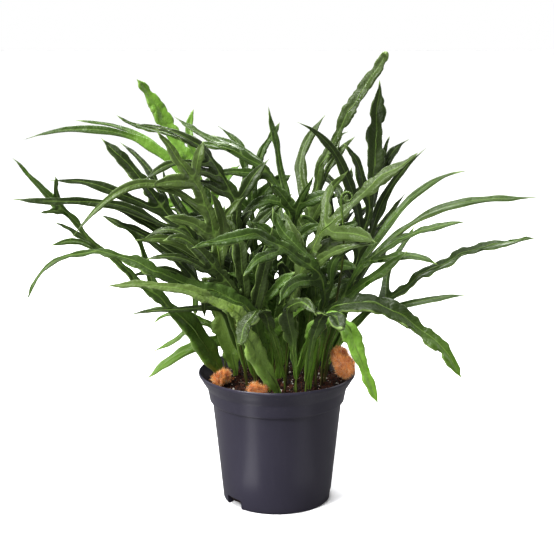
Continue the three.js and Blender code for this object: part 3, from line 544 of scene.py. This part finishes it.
def darken(frond, inner, outer, start=0, end=1):
    # from the inner to the outer value, between two distances from the pot's middle plane
    count = len(frond.data.vertices)
    places = np.empty(count * 3, np.float32)
    frond.data.vertices.foreach_get("co", places)
    share = np.clip((np.abs(places[::3]) - start) / (end - start), 0, 1)
    layer = frond.data.attributes.new("tint", "FLOAT", "POINT")
    layer.data.foreach_set("value", (inner + (outer - inner) * share).astype(np.float32))


def makeFrond(name, materials, tint):
    skin, ribPlaces, leafFrom = middleSheet(frame["nodes"][name])
    mesh = bpy.data.meshes.new(name)
    skin.to_mesh(mesh)
    skin.free()
    leaf = bpy.data.objects.new("leaf", mesh)
    bpy.context.scene.collection.objects.link(leaf)
    pick(leaf)
    bpy.ops.object.mode_set(mode="EDIT")
    bpy.ops.mesh.select_all(action="SELECT")
    bpy.ops.mesh.tris_convert_to_quads(face_threshold=math.pi, shape_threshold=math.pi)
    bpy.ops.object.mode_set(mode="OBJECT")
    vein = np.empty(len(mesh.vertices), np.float32)
    mesh.attributes["vein"].data.foreach_get("value", vein)
    margin = leaf.vertex_groups.new(name="margin")
    for i, distance in enumerate(vein):
        margin.add([i], min(1.0, float(distance) / frondShape["fullMargin"]), "REPLACE")
    for material in materials:
        mesh.materials.append(material)

    addSway(leaf)
    addSubdivision(leaf, frondShape["levels"])
    addDisplace(leaf, "wave", frondShape["wave"], waveCloud)
    addDisplace(leaf, "ragged", frondShape["ragged"], raggedCloud, "RGB_TO_XYZ")
    addDisplace(leaf, "crown", -frondShape["crown"])
    addSubdivision(leaf, 1)
    wall = leaf.modifiers.new("wall", "SOLIDIFY")
    wall.thickness = frondShape["thickness"]
    wall.offset = 0
    wall.material_offset = 1
    wall.material_offset_rim = 2
    applyModifiers(leaf)

    rib = addRib(ribPlaces, leafFrom, materials[3], frondShape["stalk"])
    addSway(rib)
    applyModifiers(rib)
    frond = join([leaf, rib])
    darken(frond, *tint)
    pick(frond)
    bpy.ops.object.shade_smooth_by_angle(angle=math.radians(50))
    keepInside(frond, cadBox[0], cadBox[1])
    frond.vertex_groups.clear()
    finishPiece(frond, "leaf_" + name, [name])
    return frond


slotOf = {row["node"]: row["material_slot"] for row in frame["record"]["subparts"]}
margins = marginMaterial()
stalkSkin = stalkMaterial()
leafSets = {slotName: [leafMaterial(slotName, "top"), leafMaterial(slotName, "under"), margins, stalkSkin]
            for slotName in leafTones}
print("leaf finishes made")

# how far each frond leans to the shade colour: inner and outer value, and from where to where in metres
darkening = {
    "range": (0, 0.6),
    "frond_bright_back_left": (0, 0.75, 0.128, 0.15), "frond_front_left": (0, 0.55, 0.035, 0.08),
    "frond_bright_front": (0, 0), "frond_base_left": (0, 0), "frond_broad_left": (0.15, 0.3),
}
paleFronds = ("frond_front_left", "frond_base_left")
draw = random.Random(7)
for name in sorted(frame["nodes"]):
    if name.startswith("frond_"):
        leafSet = leafSets["leaf_pale" if name in paleFronds else slotOf[name]]
        anyTint = draw.uniform(*darkening["range"])
        makeFrond(name, leafSet, darkening.get(name, (anyTint, anyTint)))
print("fronds made")


# pot
pot = {
    "around": 144,
    "floor": 3.0, "foot": 52.0, "shoulder": 62.0, "collarFoot": 98.0, "collarLow": 64.5, "collarHigh": 66.7,
    "collarTop": 111.0, "lip": 75.0, "height": 126.0, "wall": 1.6,
    "notches": (-52, 88, 198), "notchWidth": 21.0, "notchHeight": 9.0, "notchDepth": 10.0, "notchRound": 2.2,
}


def turnBody(around, profile):
    # a disc is drawn out ring by ring along the profile and closed at its far pole; sizes in millimetres
    radius, height = profile[0]
    deselectAll()
    bpy.ops.mesh.primitive_circle_add(
        vertices=around, radius=radius * mm, fill_type="TRIFAN", location=(0, 0, height * mm))
    body = bpy.context.object
    bpy.ops.object.transform_apply(location=True)
    bpy.ops.object.mode_set(mode="EDIT")
    bpy.ops.mesh.select_mode(type="EDGE")
    bpy.ops.mesh.select_all(action="DESELECT")
    bpy.ops.mesh.select_non_manifold()
    for nextRadius, nextHeight in profile[1:]:
        bpy.ops.mesh.extrude_region_move(
            TRANSFORM_OT_translate={"value": (0, 0, (nextHeight - height) * mm)})
        share = nextRadius / radius
        bpy.ops.transform.resize(value=(share, share, 1), center_override=(0, 0, nextHeight * mm))
        radius, height = nextRadius, nextHeight
    bpy.ops.mesh.merge(type="CENTER")
    bpy.ops.mesh.select_mode(type="VERT")
    bpy.ops.mesh.select_all(action="SELECT")
    bpy.ops.mesh.normals_make_consistent(inside=False)
    bpy.ops.object.mode_set(mode="OBJECT")
    return body


plastic = {
    "deep": (56, 54, 67), "light": (66, 63, 78), "patch": 14, "gloss": (0.27, 0.36), "relief": 0.1 * mm,
    "dust": (112, 104, 104), "dustHeight": (0.098, 0.126), "mark": (84, 82, 96), "markScale": (260, 260, 7),
}


def plasticMaterial():
    material, tree, shader = newMaterial("pot_plastic", 0.4)
    place = objectPlace(tree)
    patches = noiseOn(tree, place, plastic["patch"], 4)
    colour = mixColour(tree, patches, linear(*plastic["deep"]), linear(*plastic["light"]))
    # dust and dry soil lie on the lip and thin out below it
    height = node(tree, "ShaderNodeSeparateXYZ")
    tree.links.new(place, height.inputs[0])
    nearLip = mapRange(tree, height.outputs[2], *plastic["dustHeight"], 0.0, 1.0)
    dust = mapRange(tree, noiseOn(tree, place, 420, 5, 0.7), 0.56, 0.72, 0.0, 0.5)
    dusty = node(tree, "ShaderNodeMath", operation="MULTIPLY")
    tree.links.new(nearLip, dusty.inputs[0])
    tree.links.new(dust, dusty.inputs[1])
    colour = mixColour(tree, dusty.outputs[0], colour, linear(*plastic["dust"]))
    # fine upright drag marks from the mould
    drag = node(tree, "ShaderNodeMapping")
    drag.inputs["Scale"].default_value = plastic["markScale"]
    tree.links.new(place, drag.inputs[0])
    marks = noiseOn(tree, drag.outputs[0], 1.0, 3)
    colour = mixColour(tree, mapRange(tree, marks, 0.55, 0.8, 0.0, 0.1), colour, linear(*plastic["mark"]))
    tree.links.new(colour, shader.inputs["Base Color"])
    tree.links.new(mapRange(tree, marks, 0.2, 0.8, *plastic["gloss"]), shader.inputs["Roughness"])
    bump(tree, shader, noiseOn(tree, place, 900, 2), 0.12, plastic["relief"])
    return material


def makePot():
    wall = pot["wall"]
    foot, shoulder, collarFoot = pot["foot"], pot["shoulder"], pot["collarFoot"]
    low, high, collarTop = pot["collarLow"], pot["collarHigh"], pot["collarTop"]
    lip, height, floor = pot["lip"], pot["height"], pot["floor"]
    ring = foot - 4.7
    outside = [
        (ring * 0.5, floor), (ring - 0.6, floor), (ring, floor - 0.6), (ring + 0.2, 0.6), (ring + 0.8, 0),
        (foot - 1.5, 0), (foot - 0.5, 0.4), (foot, 1.5), (foot + 0.25, 4), (foot + 0.8, 9)]
    for share in (0.3, 0.55, 0.8):
        outside.append((foot + (shoulder - foot) * share, floor + (collarFoot - floor) * share))
    outside += [
        (shoulder - 0.15, collarFoot - 1.6), (shoulder + 0.1, collarFoot - 0.4), (shoulder + 0.7, collarFoot),
        (low - 0.6, collarFoot + 0.1), (low, collarFoot + 0.7), (low + 0.25, collarFoot + 2.2),
        (high - 0.3, collarTop - 2.4), (high, collarTop - 0.5), (high + 0.5, collarTop + 0.5),
        (high + 2.4, collarTop + 3.2), (high + 5, collarTop + 7.4), (lip - 1.5, height - 4.3),
        (lip - 0.35, height - 2.9), (lip, height - 1.7), (lip - 0.1, height - 0.6),
        (lip - 0.6, height - 0.05), (lip - 1.3, height - 0.1), (lip - wall - 0.2, height - 1.0)]
    inside = [
        (high + 3.2 - wall, collarTop + 5.4), (high - wall + 0.4, collarTop + 0.2),
        (high - wall, collarTop - 1),
        (low - wall + 0.2, collarFoot + 3), (low - wall - 0.4, collarFoot + 1.4),
        (shoulder - wall - 0.4, collarFoot - 1), (shoulder - wall - 1, collarFoot - 4),
        (foot - wall + 0.6, floor + wall + 4), (foot - wall - 0.6, floor + wall + 0.8),
        (foot - wall - 2, floor + wall),
        (ring * 0.5, floor + wall)]
    body = turnBody(pot["around"], outside + inside)
    for angle in pot["notches"]:
        around = math.radians(angle)
        deselectAll()
        place = (foot * mm * math.sin(around), -foot * mm * math.cos(around), 0)
        bpy.ops.mesh.primitive_cube_add(size=1, location=place)
        cutter = bpy.context.object
        sizes = (pot["notchWidth"], pot["notchDepth"] * 2, pot["notchHeight"] * 2)
        cutter.scale = [size * mm for size in sizes]
        cutter.rotation_euler = (0, 0, around)
        bpy.ops.object.transform_apply(location=True, rotation=True, scale=True)
        corner = cutter.modifiers.new("corner", "BEVEL")
        corner.width = pot["notchRound"] * mm
        corner.segments = 4
        applyModifiers(cutter)
        cut = body.modifiers.new("notch", "BOOLEAN")
        cut.operation = "DIFFERENCE"
        cut.solver = "EXACT"
        cut.object = cutter
        applyModifiers(body)
        bpy.data.objects.remove(cutter)
    pick(body)
    bpy.ops.object.shade_smooth_by_angle(angle=math.radians(40))
    body.data.materials.append(plasticMaterial())
    finishPiece(body, "nursery_pot", ["pot"])


makePot()
print("pot made")


# soil, with its crumbs, perlite grains and fine roots
soil = {
    "around": 128, "ringStep": 1.4, "edge": 66.4, "level": 115.0, "spread": 65.2 * mm,
    "lumps": 4.2 * mm, "lumpSize": 9 * mm, "grit": 1.8 * mm, "gritSize": 2.2 * mm,
    "crumbs": 2600, "crumbSize": (0.35 * mm, 1.7 * mm), "chips": 260, "chipSize": (0.6 * mm, 1.5 * mm),
    "perlite": 190, "perliteSize": (0.4 * mm, 1.6 * mm),
    "roots": 16, "rootWidth": 0.22 * mm, "rootStep": 3.2 * mm, "rootSpread": 56 * mm,
    "whiteRoot": [(26, 6, 113), (27, 10, 120), (29, 18, 127), (28, 22, 132), (31, 26, 136)],
    "bedColours": ((20, 13, 11), (52, 34, 26)), "crumbColours": ((24, 15, 12), (104, 62, 44)),
    "chipColours": ((52, 28, 18), (132, 78, 46)), "perliteColours": ((176, 168, 156), (238, 234, 226)),
    "rootColours": ((150, 120, 92), (226, 208, 184)),
}


def readMesh(mesh):
    places = np.empty(len(mesh.vertices) * 3)
    mesh.vertices.foreach_get("co", places)
    return places.reshape(-1, 3), [list(face.vertices) for face in mesh.polygons]


def scatter(name, template, turns, seed):
    # one mesh from many turned and scaled copies of a small shape; turns are 4 x 4 matrices
    places, faces = readMesh(template.data)
    corners = np.c_[places, np.ones(len(places))]
    allPlaces = np.concatenate([(corners @ np.array(turn).T)[:, :3] for turn in turns])
    allFaces = [[corner + i * len(places) for corner in face] for i in range(len(turns)) for face in faces]
    mesh = bpy.data.meshes.new(name)
    mesh.from_pydata(allPlaces.tolist(), [], allFaces)
    tints = np.random.default_rng(seed).random(len(turns)).astype(np.float32)
    layer = mesh.attributes.new("tint", "FLOAT", "POINT")
    layer.data.foreach_set("value", np.repeat(tints, len(places)))
    bpy.data.objects.remove(template)
    made = bpy.data.objects.new(name, mesh)
    bpy.context.scene.collection.objects.link(made)
    return made


def pebble(seed, roughness=0.3):
    deselectAll()
    bpy.ops.mesh.primitive_ico_sphere_add(subdivisions=1, radius=1)
    stone = bpy.context.object
    draw = random.Random(seed)
    for point in stone.data.vertices:
        point.co *= 1 + draw.uniform(-roughness, roughness)
    return stone


def soilMaterial(name, dark, light, roughness=0.95):
    material, tree, shader = newMaterial(name, roughness)
    place = objectPlace(tree)
    grains = noiseOn(tree, place, 700, 4, 0.65)
    colour = mixColour(tree, mapRange(tree, grains, 0.35, 0.7, 0.0, 1.0), linear(*dark), linear(*light))
    tint = attribute(tree, "tint")
    colour = mixColour(tree, mapRange(tree, tint, 0.6, 1.0, 0.0, 0.7), colour, linear(*light))
    tree.links.new(colour, shader.inputs["Base Color"])
    bump(tree, shader, grains, 0.6, 0.4 * mm)
    return material


def onSoil(bed, draw, limit):
    # a place on the soil's upper side, with its normal
    while True:
        x = draw.uniform(-limit, limit)
        y = draw.uniform(-limit, limit)
        if math.hypot(x, y) < limit:
            hit, place, normal, _ = bed.ray_cast(Vector((x, y, 0.2)), Vector((0, 0, -1)))
            if hit:
                return place, normal


def scatterOnSoil(name, bed, template, count, sizes, seed, flat=1.0):
    draw = random.Random(seed)
    turns = []
    for _ in range(count):
        place, normal = onSoil(bed, draw, soil["spread"])
        size = sizes[0] + (sizes[1] - sizes[0]) * draw.random() ** 2
        spin = Euler((draw.uniform(0, 6.3), draw.uniform(0, 6.3), draw.uniform(0, 6.3))).to_matrix().to_4x4()
        length = size * draw.uniform(0.8, 1.5)
        height = size * draw.uniform(0.6, 1) * flat
        stretch = Matrix.Diagonal((length, size, height, 1))
        turns.append(Matrix.Translation(place + normal * size * 0.3) @ spin @ stretch)
    return scatter(name, template, turns, seed)


def makeSoil():
    edge, level = soil["edge"], soil["level"]
    floor = pot["floor"] + pot["wall"] + 0.4
    profile = [
        (24, floor), (pot["foot"] - 2.6, floor), (pot["foot"] - 2.1, floor + 4),
        (pot["shoulder"] - 2.6, pot["collarFoot"] - 5), (pot["collarLow"] - 2.4, pot["collarFoot"] + 2.4),
        (pot["collarHigh"] - 2.2, pot["collarTop"] - 1), (edge, level - 0.6)]
    rings = int(edge / soil["ringStep"])
    profile += [(edge * (1 - i / rings), level) for i in range(1, rings)]
    bed = turnBody(soil["around"], profile)
    top = bed.vertex_groups.new(name="top")
    for point in bed.data.vertices:
        if point.co.z > (level - 0.5) * mm:
            reach = math.hypot(point.co.x, point.co.y) / (edge * mm)
            top.add([point.index], min(1.0, (1.02 - reach) * 8), "REPLACE")
    addDisplace(bed, "lumps", soil["lumps"], cloudTexture("soil_lumps", soil["lumpSize"]), group="top")
    addDisplace(bed, "grit", soil["grit"], cloudTexture("soil_grit", soil["gritSize"]), group="top")
    applyModifiers(bed)
    bed.vertex_groups.clear()
    bed.data.materials.append(soilMaterial("soil_bed", *soil["bedColours"]))
    finishPiece(bed, "soil_bed", ["soil"])

    crumbs = scatterOnSoil("soil_crumbs", bed, pebble(1), soil["crumbs"], soil["crumbSize"], 2)
    crumbs.data.materials.append(soilMaterial("soil_crumbs", *soil["crumbColours"]))
    finishPiece(crumbs, "soil_crumbs")
    chips = scatterOnSoil("bark_chips", bed, pebble(3), soil["chips"], soil["chipSize"], 4, flat=0.35)
    chips.data.materials.append(soilMaterial("bark_chips", *soil["chipColours"], 0.8))
    finishPiece(chips, "bark_chips")
    perlite = scatterOnSoil("perlite_grains", bed, pebble(5, 0.2), soil["perlite"], soil["perliteSize"], 6)
    perlite.data.materials.append(soilMaterial("perlite_grains", *soil["perliteColours"], 0.7))
    finishPiece(perlite, "perlite_grains")

    # fine roots wander over the soil, and one stands clear of it
    draw = random.Random(8)
    rootSkin = soilMaterial("root_threads", *soil["rootColours"], 0.8)
    width = soil["rootWidth"]
    standing = [Vector(point) * mm for point in soil["whiteRoot"]]
    threads = [addRib(standing, 1, rootSkin, [width * 1.6, width * 1.4, width])]
    for _ in range(soil["roots"]):
        place, _ = onSoil(bed, draw, soil["rootSpread"])
        heading = draw.uniform(0, 2 * math.pi)
        places = [place]
        for _ in range(5):
            heading += draw.uniform(-0.7, 0.7)
            step = Vector((math.cos(heading), math.sin(heading), 0)) * soil["rootStep"]
            found = bed.ray_cast(Vector((*(places[-1] + step).xy, 0.2)), Vector((0, 0, -1)))[1]
            places.append(found + Vector((0, 0, width * 2)))
        threads.append(addRib(places, 1, rootSkin, [width, width, width * 0.6]))
    finishPiece(join(threads), "root_threads")
    return bed


bed = makeSoil()
print("soil made")


# rhizomes: knobbly cores under a coat of golden scales
rhizome = {
    "hairs": {"rhizome_left": 4200, "rhizome_right": 9800, "rhizome_front": 2600},
    "shrink": {"rhizome_left": -4.0 * mm, "rhizome_right": -2.2 * mm, "rhizome_front": -3.6 * mm},
    "knob": 2.6 * mm, "knobSize": 5 * mm, "hair": (3.0 * mm, 7.6 * mm), "hairWidth": 0.27 * mm,
    "coreColours": ((140, 66, 28), (206, 116, 58), (226, 146, 88)),
    "scaleColours": ((200, 96, 30), (255, 188, 100), (255, 238, 200)),
}


def furMaterial(name, dark, light, pale):
    material, tree, shader = newMaterial(name, 0.75)
    place = objectPlace(tree)
    tufts = noiseOn(tree, place, 190, 3)
    colour = mixColour(tree, mapRange(tree, tufts, 0.35, 0.65, 0.0, 1.0), linear(*dark), linear(*light))
    tint = attribute(tree, "tint")
    colour = mixColour(tree, mapRange(tree, tint, 0.5, 1.0, 0.0, 0.9), colour, linear(*pale))
    tree.links.new(colour, shader.inputs["Base Color"])
    shader.inputs["Sheen Weight"].default_value = 0.25
    return material


def makeRhizome(name, hairs, seed):
    core = frame["nodes"][name].copy()
    core.data = core.data.copy()
    core.parent = None
    core.hide_render = False
    for key in list(core.keys()):
        del core[key]
    bpy.context.scene.collection.objects.link(core)
    pick(core)
    core.data.materials.clear()
    bpy.ops.object.mode_set(mode="EDIT")
    bpy.ops.mesh.select_all(action="SELECT")
    bpy.ops.mesh.remove_doubles(threshold=frondShape["weld"])
    bpy.ops.mesh.tris_convert_to_quads()
    bpy.ops.object.mode_set(mode="OBJECT")
    whole = core.vertex_groups.new(name="whole")
    whole.add(range(len(core.data.vertices)), 1.0, "REPLACE")
    addSubdivision(core, 2)
    addDisplace(core, "shrink", rhizome["shrink"][name], group="whole")
    addDisplace(core, "knobs", rhizome["knob"], cloudTexture("knobs", rhizome["knobSize"]), group="whole")
    applyModifiers(core)
    core.vertex_groups.clear()
    bpy.ops.object.shade_smooth()

    deselectAll()
    bpy.ops.mesh.primitive_cone_add(vertices=3, radius1=1, radius2=0, depth=1, location=(0, 0, 0.5))
    hair = bpy.context.object
    bpy.ops.object.transform_apply(location=True)
    draw = random.Random(seed)
    faces = core.data.polygons
    areas = [face.area for face in faces]
    turns = []
    for face in draw.choices(faces, weights=areas, k=hairs):
        corners = [core.data.vertices[i].co for i in face.vertices]
        shares = [draw.random() + 0.05 for _ in corners]
        place = sum((corner * share for corner, share in zip(corners, shares)), Vector()) / sum(shares)
        side = face.normal.orthogonal()
        side.rotate(Quaternion(face.normal, draw.uniform(0, 2 * math.pi)))
        lie = (face.normal * draw.uniform(0.2, 1.2) + side + Vector((0, 0, -0.15))).normalized()
        length = draw.uniform(*rhizome["hair"])
        width = rhizome["hairWidth"] * draw.uniform(0.6, 1.4)
        stretch = Matrix.Diagonal((width, width * 0.5, length, 1))
        turn = lie.to_track_quat("Z", "Y").to_matrix().to_4x4()
        turns.append(Matrix.Translation(place - face.normal * 0.3 * mm) @ turn @ stretch)
    fur = scatter(name + "_fur", hair, turns, seed)
    keepInside(fur, cadBox[0], cadBox[1])
    core.data.materials.append(furMaterial(name + "_core", *rhizome["coreColours"]))
    fur.data.materials.append(furMaterial(name + "_scales", *rhizome["scaleColours"]))
    finishPiece(core, name + "_core", [name])
    finishPiece(fur, name + "_scales")


for seed, (name, hairs) in enumerate(rhizome["hairs"].items()):
    makeRhizome(name, hairs, 40 + seed)
print("rhizomes made")


# young frond, still coiled, on a thin stalk; its points are those of the CAD stalk in millimetres
young = {
    "root": (46, -2), "spine": [(54, -12, 70), (60, -44, 142)], "coil": (62, -60, 186), "radius": (5.5, 1.65),
    "turns": 1.25, "thickness": (1.25, 0.95, 0.55), "buds": 34,
}


def makeYoungFrond():
    level = soil["level"]
    x, y = young["root"]
    points = [(x, y, level - 6), (x, y, level + 4)]
    points += [(px, py, level + rise) for px, py, rise in young["spine"]]
    stalkCount = len(points)
    cx, cy, rise = young["coil"]
    steps = 14
    for i in range(steps + 1):
        around = math.pi + i / steps * young["turns"] * 2 * math.pi
        radius = young["radius"][0] + (young["radius"][1] - young["radius"][0]) * i / steps
        points.append((cx + math.cos(around) * radius, cy, level + rise - math.sin(around) * radius))
    places = [Vector(point) * mm for point in points]
    stalk = addRib(places, stalkCount, leafSets["leaf_olive"][3], [size * mm for size in young["thickness"]])
    # folded leaflets lie in two rows along the coil
    draw = random.Random(11)
    turns = []
    coil = places[stalkCount - 1:]
    for k in range(young["buds"]):
        share = k / young["buds"] * (len(coil) - 1.01)
        i = int(share)
        place = coil[i].lerp(coil[i + 1], share - i)
        side = -1 if k % 2 else 1
        size = (1.25 - 0.5 * share / len(coil)) * mm
        spin = Euler((0, draw.uniform(-0.6, 0.6), draw.uniform(-0.5, 0.5))).to_matrix().to_4x4()
        stretch = Matrix.Diagonal((size * 0.8, size * 1.3, size * 0.7, 1))
        turns.append(Matrix.Translation(place + Vector((0, side * 0.9 * mm, 0))) @ spin @ stretch)
    buds = scatter("buds", pebble(12, 0.15), turns, 13)
    buds.data.materials.append(leafSets["leaf_olive"][1])
    frond = join([stalk, buds])
    pick(frond)
    bpy.ops.object.shade_smooth()
    finishPiece(frond, "coiled_young_frond", ["young_frond"])


makeYoungFrond()
print("young frond made")


# studio
studio = {
    "floor": (251, 251, 252), "bounce": 0.19, "world": 0.08, "gamma": 0.84,
    "suns": [("key_sun", (-0.5, -0.8, 2.4), 2.7, 16), ("back_sun", (0.7, 1.0, 2.2), 0.8, 45)],
    "boxes": [
        ("high_box", (-1.0, -1.0, 1.2), (0.4, 0.4), 30), ("front_box", (-0.4, -1.3, 0.5), (0.5, 0.5), 5.5),
        ("side_box", (1.4, 0.3, 0.7), (0.7, 0.7), 6), ("far_box", (-1.3, 0.5, 0.6), (0.7, 0.7), 3),
        ("back_box", (-0.2, 1.5, 1.5), (1.6, 0.8), 50)],
    "strips": [("left_strip", -41, 0.045, 0.07), ("right_strip", 44, 0.07, 0.022)],
    "stripReach": (0.09, 0.36),
}


def addStudio():
    bpy.context.scene.view_settings.view_transform = "Standard"
    bpy.context.scene.view_settings.gamma = studio["gamma"]
    world = bpy.data.worlds.new("studio")
    bpy.context.scene.world = world
    world.use_nodes = True
    tree = world.node_tree
    back = tree.nodes["Background"]
    back.inputs[0].default_value = (1, 1, 1, 1)
    # the backdrop looks white, and lights the plant less than it shows
    rays = tree.nodes.new("ShaderNodeLightPath")
    tree.links.new(mapRange(tree, rays.outputs["Is Camera Ray"], 0, 1, studio["world"], 1.0), back.inputs[1])
    bpy.ops.mesh.primitive_plane_add(size=60)
    floor = bpy.context.object
    floor.name = "studio_floor"
    material, tree, shader = newMaterial("studio_floor", 0.9)
    # the floor shows pale, and throws back less light than it shows
    rays = tree.nodes.new("ShaderNodeLightPath").outputs["Is Camera Ray"]
    colour = mixColour(tree, rays, grey(studio["bounce"]), linear(*studio["floor"]))
    tree.links.new(colour, shader.inputs["Base Color"])
    shader.inputs["Specular IOR Level"].default_value = 0.1
    floor.data.materials.append(material)
    aim = Vector((0, 0, 0.1))
    for name, place, power, spread in studio["suns"]:
        bpy.ops.object.light_add(type="SUN", location=place)
        light = bpy.context.object
        light.name = name
        light.data.energy = power
        light.data.angle = math.radians(spread)
        light.rotation_euler = (aim - light.location).to_track_quat("-Z", "Y").to_euler()
    for name, place, (width, height), power in studio["boxes"]:
        bpy.ops.object.light_add(type="AREA", location=place)
        light = bpy.context.object
        light.name = name
        light.data.shape = "RECTANGLE"
        light.data.size = width
        light.data.size_y = height
        light.visible_camera = False
        light.data.energy = power
        light.rotation_euler = (aim - light.location).to_track_quat("-Z", "Y").to_euler()
    # strips lie on the floor before the pot and shine up at its wall
    near, far = studio["stripReach"]
    for name, side, width, power in studio["strips"]:
        around = math.radians(side)
        middle = (near + far) / 2
        place = (middle * math.sin(around), -middle * math.cos(around), 3 * mm)
        bpy.ops.object.light_add(type="AREA", location=place, rotation=(math.pi, 0, around))
        light = bpy.context.object
        light.name = name
        light.data.shape = "RECTANGLE"
        light.data.size = width
        light.data.size_y = far - near
        light.data.energy = power
        light.visible_camera = False


addStudio()
print("studio lit")
